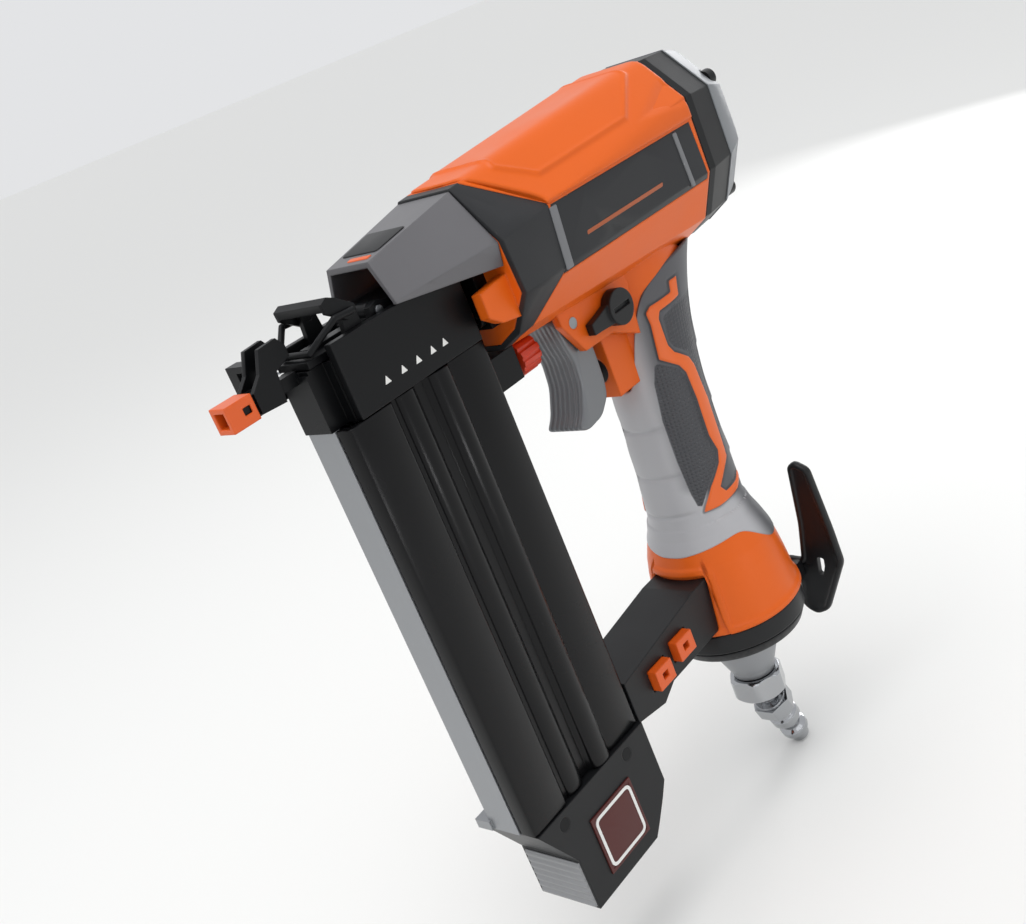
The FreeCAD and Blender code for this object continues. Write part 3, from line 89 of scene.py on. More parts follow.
# ---------------------------------------------------------------- finishes
class Surface(Enum):
    """How a surface was made, which decides its pattern."""

    GRAINED = "moulded with a fine spark-eroded grain"
    COATED = "cast, then powder coated"
    BRUSHED = "extruded or ground, with fine lines along one axis"
    POLISHED = "plated and polished"
    OXIDE = "machined, then blackened in oil"
    PRINTED = "screen printed"
    DOTTED = "overmoulded rubber with zones"


@dataclass(frozen=True)
class Finish:
    """One real finish: its colour, how it was made and how rough it is.

    spread is how far the roughness drifts, grain_mm and depth_mm are the grain's spacing and depth,
    edge_mm is the radius that softens its edges, and shade is how dark the darker tone is.
    """

    name: str
    slot: str
    colour: str
    surface: Surface
    roughness: float
    metallic: float = 0.0
    spread: float = 0.05
    grain_mm: float = 0.5
    depth_mm: float = 0.02
    edge_mm: float = 0.4
    shade: float = 0.82
    specular: float = 0.5

    def material(self) -> bpy.types.Material:
        """The finish as a node material, made once."""
        found = bpy.data.materials.get(self.name)
        return found or build_material(self)


# Powder coat on magnesium: an even, slightly glossy orange skin with a faint orange-peel.
ORANGE_COAT = Finish(
    "powder_coated_magnesium_orange", "orange_coat", "DE6011", Surface.COATED, 0.38,
    grain_mm=1.3, depth_mm=0.025, edge_mm=1.2, shade=0.9, specular=0.3,
)
# Glass-filled nylon, grained in the mould: dark, dull, with a soft sheen.
CHARCOAL = Finish(
    "moulded_nylon_charcoal", "charcoal", "2B2C2E", Surface.GRAINED, 0.46, edge_mm=0.9, specular=0.32
)
SHROUD_GREY = Finish("moulded_nylon_grey", "grey_shroud", "646366", Surface.GRAINED, 0.40, edge_mm=0.8)
BLACK_NYLON = Finish(
    "moulded_nylon_black", "black_moulded", "151618", Surface.GRAINED, 0.42, edge_mm=0.7, specular=0.32
)
LIGHT_GREY = Finish("moulded_nylon_light_grey", "grey_shroud", "737477", Surface.GRAINED, 0.42)
PALE_RIBS = Finish("moulded_nylon_pale_grey", "grey_shroud", "8F9092", Surface.GRAINED, 0.42, edge_mm=0.2)
# Satin silver-grey paint over a cast cap: broad, soft highlights.
CAP_GREY = Finish(
    "painted_cast_cap_grey", "grey_cap", "7E8185", Surface.COATED, 0.48,
    metallic=0.1, grain_mm=0.9, edge_mm=0.9, shade=0.88,
)
# Blackened steel: nearly black with a dull metallic gleam where it is handled.
BLACK_STEEL = Finish(
    "black_oxide_steel", "black_steel", "101113", Surface.OXIDE, 0.36,
    metallic=0.4, spread=0.1, grain_mm=3.0, depth_mm=0.01, edge_mm=0.35, specular=0.32,
)
# Anodised extrusions, clear and black: die lines along the length draw the highlights out.
BARE_ALUMINIUM = Finish(
    "extruded_aluminium_anodised", "bare_aluminium", "9FA1A4", Surface.BRUSHED, 0.42,
    metallic=0.8, grain_mm=0.7, depth_mm=0.006,
)
BLACK_ANODISED = Finish(
    "extruded_aluminium_black", "black_anodised", "0B0B0D", Surface.BRUSHED, 0.24,
    metallic=0.3, grain_mm=0.9, depth_mm=0.006, edge_mm=0.5, specular=0.32,
)
# Nitrile rubber: black and dull.
SEAL_RUBBER = Finish("nitrile_rubber_seal", "seal_rubber", "141414", Surface.GRAINED, 0.6)
# Ground steel: bright, with fine lines.
TOOL_STEEL = Finish(
    "ground_tool_steel", "tool_steel", "9A9DA1", Surface.BRUSHED, 0.3,
    metallic=1.0, grain_mm=0.6, depth_mm=0.005, edge_mm=0.2,
)
# Soft overmoulded rubber: dull dotted sides, a smoother front and a glossier stripe.
GRIP_RUBBER = Finish("overmoulded_tpe_grey", "grip_rubber", "55565A", Surface.DOTTED, 0.5, grain_mm=0.4)
# Pressed felt: pale, with no highlight.
FILTER_FELT = Finish("pressed_filter_felt", "filter_felt", "CFCBC0", Surface.GRAINED, 0.9)
# Nickel and chrome over steel: sharp reflections with no grain.
CHROME = Finish(
    "nickel_chrome_plate", "chrome_plate", "B4B6B9", Surface.POLISHED, 0.14,
    metallic=1.0, grain_mm=6.0, depth_mm=0.0, edge_mm=0.25,
)
# Satin metallic paint on a casting.
TRIGGER_GREY = Finish(
    "painted_cast_trigger", "grey_cast", "76787B", Surface.COATED, 0.34,
    metallic=0.5, grain_mm=0.8, edge_mm=0.5, shade=0.9,
)
# Unfilled coloured plastics: even colour with a soft gloss.
ORANGE_PLASTIC = Finish(
    "moulded_urethane_orange", "orange_moulded", "DD5A16", Surface.GRAINED, 0.36, edge_mm=0.7, shade=0.9
)
RED_PLASTIC = Finish("moulded_acetal_red", "red_moulded", "C4330F", Surface.GRAINED, 0.34, shade=0.9)
# Printed film and ink: flat, even colour with a slight sheen.
BADGE_RED = Finish("printed_film_dark_red", "badge_red", "4E140F", Surface.PRINTED, 0.45, edge_mm=0.2)
WHITE_PRINT = Finish("screen_print_white", "badge_red", "E9E9E6", Surface.PRINTED, 0.4, edge_mm=0.1)
BROWN_LINE = Finish("screen_print_brown", "badge_red", "A5552F", Surface.PRINTED, 0.4, edge_mm=0.1)

# The finish that each slot's CAD nodes wear.
FINISHES = (
    ORANGE_COAT, CHARCOAL, SHROUD_GREY, BLACK_NYLON, CAP_GREY, BLACK_STEEL, BARE_ALUMINIUM, BLACK_ANODISED,
    SEAL_RUBBER, TOOL_STEEL, GRIP_RUBBER, FILTER_FELT, CHROME, TRIGGER_GREY, ORANGE_PLASTIC, RED_PLASTIC,
    BADGE_RED,
)


def linear(code: str) -> tuple[float, float, float, float]:
    """Turns an sRGB hex colour to linear.

    Args:
        code: six hex digits.

    Returns:
        Red, green, blue and an alpha of 1.
    """
    parts = np.array([int(code[k : k + 2], 16) / 255.0 for k in (0, 2, 4)])
    low = parts / 12.92
    high = ((parts + 0.055) / 1.055) ** 2.4
    red, green, blue = np.where(parts <= 0.04045, low, high)
    return (float(red), float(green), float(blue), 1.0)


def add_node(
    tree: bpy.types.NodeTree, kind: str, inputs: dict | None = None, **settings: object
) -> bpy.types.Node:
    """Adds a node with its settings, values and links.

    Args:
        tree: the material's node tree.
        kind: the node's type name.
        inputs: input name or number to a value, or to the output socket linked to it.
        **settings: the node's own properties.

    Returns:
        The new node.
    """
    made = tree.nodes.new(kind)
    for key, value in settings.items():
        setattr(made, key, value)
    for key, value in (inputs or {}).items():
        if isinstance(value, bpy.types.NodeSocket):
            tree.links.new(value, made.inputs[key])
        else:
            made.inputs[key].default_value = value
    return made


def build_material(finish: Finish) -> bpy.types.Material:
    """Makes a finish's node material: tone drift, roughness drift, grain and softened edges.

    Args:
        finish: the finish to make.

    Returns:
        The material.
    """
    material = bpy.data.materials.new(finish.name)
    material.use_nodes = True
    tree = material.node_tree
    tree.nodes.clear()
    place = add_node(tree, "ShaderNodeTexCoord").outputs["Object"]
    stretch = [1.0, 1.0, 1.0]
    if finish.surface is Surface.BRUSHED:
        stretch[2] = LINE_SQUEEZE
    along = add_node(tree, "ShaderNodeMapping", {"Vector": place, "Scale": stretch}).outputs["Vector"]
    slow = {"Vector": place, "Scale": 1.0 / (CLOUD_MM * MM), "Detail": 3.0}
    cloud = add_node(tree, "ShaderNodeTexNoise", slow)
    grain = add_node(
        tree, "ShaderNodeTexNoise",
        {"Vector": along, "Scale": 1.0 / (finish.grain_mm * MM), "Detail": 2.0},
    )
    base = linear(finish.colour)
    dark = tuple(part * finish.shade for part in base[:3]) + (1.0,)
    tones = {0: cloud.outputs["Fac"], 6: dark, 7: base}
    colour = add_node(tree, "ShaderNodeMix", tones, data_type="RGBA").outputs[2]
    drift = add_node(
        tree, "ShaderNodeMapRange",
        {"Value": cloud.outputs["Fac"], "From Min": 0.3, "From Max": 0.7,
         "To Min": finish.roughness - finish.spread, "To Max": finish.roughness + finish.spread},
    ).outputs["Result"]
    height = grain.outputs["Fac"]
    if finish.surface is Surface.DOTTED:
        colour, drift, height = grip_zones(tree, colour, drift, height)
    soft = add_node(tree, "ShaderNodeBevel", {"Radius": finish.edge_mm * MM}, samples=4).outputs["Normal"]
    depth = max(finish.depth_mm, LEAST_DEPTH_MM) * MM
    bump = add_node(
        tree, "ShaderNodeBump",
        {"Height": height, "Distance": depth, "Strength": 1.0, "Normal": soft},
    ).outputs["Normal"]
    values = {
        "Base Color": colour, "Roughness": drift, "Metallic": finish.metallic, "Normal": bump,
        "Specular IOR Level": finish.specular,
    }
    shader = add_node(tree, "ShaderNodeBsdfPrincipled", values)
    add_node(tree, "ShaderNodeOutputMaterial", {"Surface": shader.outputs["BSDF"]})
    return material


def grip_zones(
    tree: bpy.types.NodeTree, colour: object, rough: object, height: object
) -> tuple[bpy.types.NodeSocket, ...]:
    """Adds the grip's zones: a pale smooth front that widens round the lower handle and fades into the sides
    as painted light and painted shade, dark dotted sides and a dark-rimmed orange stripe.

    Each zone is an attribute with the distance into it in millimetres. Its share grows from 0 to
    its most between two distances, and its colour covers the last one by that share.

    Args:
        tree: the material's node tree.
        colour: the plain rubber's colour socket.
        rough: the plain rubber's roughness socket.
        height: the plain rubber's grain socket.

    Returns:
        Colour, roughness and height sockets with the zones in them.
    """
    zones = (
        # Pale front rubber; its wider reach low down and its soft fade to the dark back are painted light
        # and painted shade.
        ("pale_front_and_painted_light", -4.5, 4.5, 1.0, "ABABAE"),
        ("dot_zone", -0.25, 0.25, 1.0, "3E3F43"),
        ("stripe_zone", -1.1, -0.2, 0.55, "141416"),
        ("stripe_zone", -0.125, 0.125, 1.0, ORANGE_COAT.colour),
    )
    shares = []
    for name, low, high, most, code in zones:
        stored = add_node(tree, "ShaderNodeAttribute", attribute_name=name).outputs["Fac"]
        share = add_node(
            tree, "ShaderNodeMapRange",
            {"Value": stored, "From Min": low, "From Max": high, "To Max": most},
            interpolation_type="SMOOTHSTEP",
        ).outputs["Result"]
        mixed = {0: share, 6: colour, 7: linear(code)}
        colour = add_node(tree, "ShaderNodeMix", mixed, data_type="RGBA").outputs[2]
        shares.append(share)
    front, dotted, _, stripe = shares
    for share, value in ((front, 0.36), (stripe, 0.38)):
        rough = add_node(tree, "ShaderNodeMix", {0: share, 2: rough, 3: value}, data_type="FLOAT").outputs[0]
    flat = add_node(tree, "ShaderNodeUVMap", uv_map="surface").outputs["UV"]
    dots = add_node(
        tree, "ShaderNodeTexVoronoi",
        {"Vector": flat, "Scale": 1.0 / (DOT_PITCH * MM), "Randomness": 0.0},
        voronoi_dimensions="2D",
    )
    bead = add_node(
        tree, "ShaderNodeMapRange",
        {"Value": dots.outputs["Distance"], "From Min": 0.15, "From Max": 0.45, "To Min": 12.0,
         "To Max": 0.0},
        interpolation_type="SMOOTHSTEP",
    ).outputs["Result"]
    bead = add_node(tree, "ShaderNodeMix", {0: dotted, 2: 0.0, 3: bead}, data_type="FLOAT").outputs[0]
    height = add_node(tree, "ShaderNodeMath", {0: height, 1: bead}, operation="ADD").outputs["Value"]
    return colour, rough, height


# ---------------------------------------------------------------- surfaces
class Axis(Enum):
    """The axis that an outline is carried along, with the order of its two own axes."""

    X = (0, 1, 2)
    Y = (1, 0, 2)
    Z = (2, 0, 1)


def round_corners(points: np.ndarray, reach: float, steps: int = 4) -> np.ndarray:
    """Softens a closed outline's corners.

    Each corner becomes the quadratic curve from a point `reach` before it to a point `reach` after
    it, with the corner as the control point. The reach is at most 0.45 of the shorter side.

    Args:
        points: (n, 2) corners in order.
        reach: how far from the corner the curve starts.
        steps: pieces in each curve.

    Returns:
        The softened outline, (n * (steps + 1), 2).
    """
    points = np.asarray(points, float)
    before = np.roll(points, 1, 0) - points
    after = np.roll(points, -1, 0) - points
    len_before = np.linalg.norm(before, axis=1, keepdims=True)
    len_after = np.linalg.norm(after, axis=1, keepdims=True)
    cut = np.minimum(reach, 0.45 * np.minimum(len_before, len_after))
    start = points + before / len_before * cut
    end = points + after / len_after * cut
    t = np.linspace(0.0, 1.0, steps + 1)[None, :, None]
    curve = (1 - t) ** 2 * start[:, None] + 2 * t * (1 - t) * points[:, None] + t**2 * end[:, None]
    return curve.reshape(-1, points.shape[1])


def shrunk(outline: np.ndarray, inset: float) -> np.ndarray:
    """Moves a closed outline inwards by an inset along the mean normal at each point."""
    step = np.roll(outline, -1, 0) - np.roll(outline, 1, 0)
    step /= np.maximum(np.linalg.norm(step, axis=1, keepdims=True), 1e-9)
    normal = np.stack([step[:, 1], -step[:, 0]], 1)
    nxt = np.roll(outline, -1, 0)
    area = 0.5 * np.sum(outline[:, 0] * nxt[:, 1] - nxt[:, 0] * outline[:, 1])
    return outline - math.copysign(1.0, area) * normal * inset


def distance_into(points: np.ndarray, corners: np.ndarray) -> np.ndarray:
    """Signed distance of points into a polygon: the distance to its nearest side, positive inside.

    Args:
        points: (..., 2) positions.
        corners: (n, 2) corners of the polygon.

    Returns:
        The distances, with the points' leading shape.
    """
    corners = np.asarray(corners, float)
    flat = points.reshape(-1, 1, 2)
    start = corners[None]
    side = np.roll(corners, -1, 0)[None] - start
    share = np.clip(np.sum((flat - start) * side, -1) / np.sum(side**2, -1), 0.0, 1.0)
    gap = np.linalg.norm(flat - start - share[..., None] * side, axis=-1).min(1)
    end = start + side
    low = start[..., 1] > flat[..., 1]
    high = end[..., 1] > flat[..., 1]
    slope = np.where(side[..., 1] == 0, 1e-9, side[..., 1])
    cross_x = start[..., 0] + (flat[..., 1] - start[..., 1]) / slope * side[..., 0]
    inside = (np.sum((low != high) & (flat[..., 0] < cross_x), 1) % 2) == 1
    return np.where(inside, gap, -gap).reshape(points.shape[:-1])


def smooth_step(values: np.ndarray, low: float, high: float) -> np.ndarray:
    """0 below low, 1 above high, and an even curve between."""
    t = np.clip((values - low) / (high - low), 0.0, 1.0)
    return t * t * (3 - 2 * t)


def quarter_round(depth: np.ndarray, reach: float) -> np.ndarray:
    """0 at an edge and 1 from a reach inside it, along a quarter circle between."""
    return np.sqrt(np.clip(1 - (1 - np.clip(depth / reach, 0, 1)) ** 2, 0, 1))


def upward_normals(grid: np.ndarray) -> np.ndarray:
    """Unit normals of a grid of points, turned so that the middle one points up."""
    normal = np.cross(np.gradient(grid, axis=1), np.gradient(grid, axis=0))
    normal /= np.linalg.norm(normal, axis=-1, keepdims=True)
    return normal * np.sign(normal[grid.shape[0] // 2, grid.shape[1] // 2, 2])


def grid_faces(rows: int, cols: int, wrap_rows: bool, wrap_cols: bool) -> np.ndarray:
    """Four-sided faces of a grid.

    Args:
        rows: number of rows.
        cols: number of columns.
        wrap_rows: the last row joins the first.
        wrap_cols: the last column joins the first.

    Returns:
        (n, 4) vertex numbers.
    """
    r = np.arange(rows if wrap_rows else rows - 1)[:, None]
    c = np.arange(cols if wrap_cols else cols - 1)[None, :]
    r2 = (r + 1) % rows
    c2 = (c + 1) % cols
    corners = [r * cols + c, r * cols + c2, r2 * cols + c2, r2 * cols + c]
    return np.stack([np.broadcast_to(k, (r.size, c.size)).ravel() for k in corners], 1)


def signed_volume(points: np.ndarray, faces: list) -> float:
    """Volume of a closed surface, from fans of triangles about each face's first corner."""
    total = 0.0
    for size in sorted({len(f) for f in faces}):
        block = np.array([f for f in faces if len(f) == size])
        corner = points[block]
        for k in range(1, size - 1):
            total += float(np.sum(corner[:, 0] * np.cross(corner[:, k], corner[:, k + 1])))
    return total / 6.0


def placed(name: str, data: bpy.types.ID) -> bpy.types.Object:
    """A new object in the scene that shows some data."""
    made = bpy.data.objects.new(name, data)
    bpy.context.scene.collection.objects.link(made)
    return made


@dataclass
class Piece:
    """One finished visible piece and where it belongs."""

    name: str
    body: str
    finish: Finish
    stands_for: tuple[str, ...] = ()
    sharp_deg: float = 32.0

    def from_grid(
        self,
        points: np.ndarray,
        wrap_rows: bool = False,
        wrap_cols: bool = True,
        caps: bool = True,
        zones: dict[str, np.ndarray] | None = None,
        uv: np.ndarray | None = None,
    ) -> bpy.types.Object:
        """Makes the piece from a grid of points.

        Args:
            points: (rows, cols, 3) positions in millimetres.
            wrap_rows: the last row joins the first.
            wrap_cols: the last column joins the first.
            caps: the first and last rows are closed with one face each.
            zones: attribute name to one number per grid point.
            uv: (rows, cols, 2) surface coordinates in metres.

        Returns:
            The object.
        """
        rows, cols = points.shape[:2]
        flat = points.reshape(-1, 3) * MM
        faces = grid_faces(rows, cols, wrap_rows, wrap_cols).tolist()
        if caps and not wrap_rows:
            faces.append(list(range(cols))[::-1])
            faces.append([(rows - 1) * cols + k for k in range(cols)])
        if signed_volume(flat, faces) < 0:
            faces = [f[::-1] for f in faces]
        mesh = bpy.data.meshes.new(self.name)
        mesh.from_pydata(flat.tolist(), [], faces)
        for name, values in (zones or {}).items():
            stored = mesh.attributes.new(name, "FLOAT", "POINT")
            stored.data.foreach_set("value", values.astype(np.float32).ravel())
        if uv is not None:
            layer = mesh.uv_layers.new(name="surface")
            corner = np.zeros(len(mesh.loops), int)
            mesh.loops.foreach_get("vertex_index", corner)
            layer.data.foreach_set("uv", uv.reshape(-1, 2)[corner].astype(np.float32).ravel())
        return self.finished(mesh)

    def finished(self, mesh: bpy.types.Mesh) -> bpy.types.Object:
        """Closes poles, sets the shading and the finish, and hangs the piece on its body.

        Args:
            mesh: the piece's mesh in metres.

        Returns:
            The object.
        """
        work = bmesh.new()
        work.from_mesh(mesh)
        bmesh.ops.remove_doubles(work, verts=work.verts, dist=2e-6)
        bmesh.ops.dissolve_degenerate(work, edges=work.edges, dist=1e-7)
        work.to_mesh(mesh)
        work.free()
        mesh.shade_smooth()
        mesh.set_sharp_from_angle(angle=math.radians(self.sharp_deg))
        mesh.materials.append(self.finish.material())
        made = placed(self.name, mesh)
        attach(made, self.body)
        if self.stands_for:
            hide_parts(*self.stands_for)
        LOG.info("%s: %d faces on %s", self.name, len(mesh.polygons), self.body)
        return made

    def carried(
        self,
        outline: np.ndarray,
        axis: Axis,
        low: float,
        high: float,
        edge: float,
        base: Callable[[np.ndarray, np.ndarray], np.ndarray] | None = None,
    ) -> bpy.types.Object:
        """Makes the piece from an outline carried along an axis, with rounded rims.

        Near each end the outline shrinks as a quarter circle: at an angle a the inset is
        edge * (1 - sin a) and the way in from the end is edge * (1 - cos a).

        Args:
            outline: (n, 2) closed outline.
            axis: the axis it is carried along.
            low: where it starts.
            high: where it ends.
            edge: radius of the rims.
            base: function of the outline's two coordinates, added along the axis.

        Returns:
            The object.
        """
        angle = np.linspace(0.0, 0.5 * math.pi, 4)
        inset = np.concatenate([edge * (1 - np.sin(angle)), edge * (1 - np.sin(angle[::-1]))])
        rim = edge * (1 - np.cos(angle))
        way = np.concatenate([low + rim, high - rim[::-1]])
        rings = np.stack([shrunk(outline, k) for k in inset])
        points = np.zeros(rings.shape[:2] + (3,))
        lead, first, second = axis.value
        points[..., first] = rings[..., 0]
        points[..., second] = rings[..., 1]
        points[..., lead] = way[:, None]
        if base is not None:
            points[..., lead] += base(rings[..., 0], rings[..., 1])
        return self.from_grid(points)


# ---------------------------------------------------------------- the tool's sub-assemblies
@dataclass
class BarrelShell:
    """The coated shell over the barrel's top, with its raised field and rear facets.

    A size that changes down the barrel is a pair: its value at the front and its gain by the rear.
    The field's and facets' corners are (y, length across from the crest).
    """

    front: float = 98.5
    rear: float = 205.0
    rear_gap: float = 0.2
    lower_edge: float = 11.3
    foot_z: float = 8.6
    half_length: float = 38.0
    lift: float = 0.9
    skin: float = 1.4
    inner_share: float = 0.3
    lip: float = 1.2
    blur_cols: float = 4.5
    top: tuple = (27.5, 7.8)
    bend: tuple = (12.0, 2.0)
    wide: tuple = (27.4, 1.6)
    corner_in: tuple = (1.4, 0.6)
    corner_z: tuple = (8.5, 10.5)
    start_line: tuple = ((0.0, 103.2), (13.0, 104.2), (35.0, 122.0))
    field_rise: float = 0.55
    border_rise: float = 0.45
    border_half: float = 0.8
    facet_depth: float = 1.1
    field_corners: tuple = ((193.8, 15.6), (175.0, 28.9), (128.5, 25.9), (116.9, 15.4))
    facet_corners: tuple = ((177.0, 32.5), (203.3, 23.4), (209.0, 27.0), (209.0, 39.5), (200.5, 38.5))
    rows: int = 150
    cols: int = 181

    def share(self, y: np.ndarray) -> np.ndarray:
        """How far along the barrel a place is, from 0 at the front to 1 at the rear."""
        return (y - self.front) / (self.rear - self.front)

    def side_corner(self, y: np.ndarray) -> tuple[np.ndarray, np.ndarray, np.ndarray]:
        """The side's lower half width and its upper corner.

        Args:
            y: places along the barrel.

        Returns:
            The half width at the side's foot, and x and z of its upper corner.
        """
        share = self.share(y)
        wide = self.wide[0] + self.wide[1] * share
        top_x = wide - self.corner_in[0] + self.corner_in[1] * share
        return wide, top_x, self.corner_z[0] + self.corner_z[1] * share

    def side_x(self, y: np.ndarray, z: np.ndarray) -> np.ndarray:
        """How far out the barrel's side is at a place: a line between its two side corners."""
        wide, top_x, top_z = self.side_corner(y)
        return wide + (z + self.foot_z) / (top_z + self.foot_z) * (top_x - wide)

    def front_edge(self, across: np.ndarray) -> np.ndarray:
        """Where the shell starts: straight on top, then back along the collar's slanted edge."""
        return np.interp(np.abs(across), *zip(*self.start_line))

    def section(self, u: np.ndarray, y: np.ndarray) -> tuple[np.ndarray, np.ndarray]:
        """The barrel's straight-sided section.

        Each half is three straight runs, flat top, slanted facet and side down to the panel,
        sampled evenly by length.

        Args:
            u: place across, from -1 to 1.
            y: places along the barrel.

        Returns:
            The points, and each one's length across from the crest, negative on the right.
        """
        share = self.share(y)
        top = self.top[0] + self.top[1] * share
        bend_x = self.bend[0] + self.bend[1] * share
        _, corner_x, corner_z = self.side_corner(y)
        corner_z = np.maximum(corner_z, self.lower_edge + 0.01)
        low_x = self.side_x(y, np.full_like(y, self.lower_edge))
        run_b = np.hypot(corner_x - bend_x, top - corner_z)
        run_c = np.hypot(low_x - corner_x, corner_z - self.lower_edge)
        reach = np.abs(u)[None] * (bend_x + run_b + run_c)
        part_b = np.clip((reach - bend_x) / run_b, 0, 1)
        part_c = np.clip((reach - bend_x - run_b) / np.maximum(run_c, 1e-6), 0, 1)
        x = np.minimum(reach, bend_x) + part_b * (corner_x - bend_x) + part_c * (low_x - corner_x)
        z = top - part_b * (top - corner_z) - part_c * (corner_z - self.lower_edge)
        side = np.sign(u)[None]
        return np.stack([x * side, y, z], -1), reach * side

    def evened(self, base: np.ndarray, u: np.ndarray) -> np.ndarray:
        """Rounds the section's corners with a bell-shaped weight across it, but not its two ends."""
        spot = np.arange(self.cols)
        weight = np.exp(-0.5 * ((spot[:, None] - spot[None]) / self.blur_cols) ** 2)
        weight /= weight.sum(0, keepdims=True)
        even = np.einsum("rcx,cd->rdx", base, weight)
        ends = smooth_step(1 - np.abs(u), 0.0, 0.09)[None, :, None]
        return base * (1 - ends) + even * ends

    def relief(self, y: np.ndarray, across: np.ndarray) -> np.ndarray:
        """How far the details move the skin: the field steps up inside a bell-shaped border, and a
        facet sinks over its first few millimetres."""
        right = np.array(self.field_corners)
        loop = np.concatenate([right, (right * [1, -1])[::-1]])
        into_field = distance_into(np.stack([y, across], -1), loop)
        into_facet = distance_into(np.stack([y, np.abs(across)], -1), np.array(self.facet_corners))
        rise = self.field_rise * smooth_step(into_field, -0.9, 0.6)
        rise = rise + self.border_rise * np.exp(-((into_field / self.border_half) ** 2))
        return rise - self.facet_depth * smooth_step(into_facet, -0.3, 5.0)

    def build(self) -> None:
        """Makes the shell: the evened section, moved out along its normals by lift and relief, and
        an inner wall under it. Near its edges the lift falls away along a quarter circle."""
        u = np.linspace(-1.0, 1.0, self.cols)
        t = np.linspace(0.0, 1.0, self.rows)[:, None]
        start = self.front_edge(np.abs(u)[None] * self.half_length)
        y = start * (1 - t) + (self.rear - self.rear_gap) * t
        base, across = self.section(u, y)
        even = self.evened(base, u)
        normal = upward_normals(even)
        from_side = (1 - np.abs(u))[None] * self.half_length + 0 * y
        lip = quarter_round(np.minimum.reduce([y - start, self.rear - y, from_side]), self.lip)
        height = (self.lift + self.relief(y, across)) * (0.25 + 0.75 * lip)
        outer = even + normal * height[..., None]
        inner = even - normal * self.skin * self.inner_share
        grid = np.concatenate([outer, inner[:, ::-1]], axis=1)
        Piece("barrel_shell", "tool", ORANGE_COAT).from_grid(grid)


@dataclass
class SidePanels:
    """Raised bands and a thin line on the dark panels at the barrel's sides.

    Each row is a name, a finish, how far it stands out, and its (y, z) corners.
    """

    barrel: BarrelShell
    sunk: float = 0.5
    rounding: float = 0.6
    edge: float = 0.15
    rows: tuple = (
        ("panel_front_band", LIGHT_GREY, 0.35, ((121.8, 9.9), (125.2, 9.9), (121.9, -9.9), (118.4, -9.9))),
        ("panel_rear_band", LIGHT_GREY, 0.35, ((191.6, 9.9), (193.8, 9.9), (194.6, -9.9), (192.4, -9.9))),
        ("panel_line", BROWN_LINE, 0.12, ((134.0, -2.6), (178.0, -2.6), (177.4, -3.9), (133.4, -3.9))),
    )

    def build(self) -> None:
        """Makes the bands and the line on both sides."""
        for side, word in ((1, "left"), (-1, "right")):
            for name, finish, proud, corners in self.rows:
                low, high = sorted((side * -self.sunk, side * proud))
                Piece(f"{name}_{word}", "tool", finish).carried(
                    round_corners(np.array(corners), self.rounding), Axis.X, low, high, self.edge,
                    lambda y, z, side=side: side * self.barrel.side_x(y, z),
                )


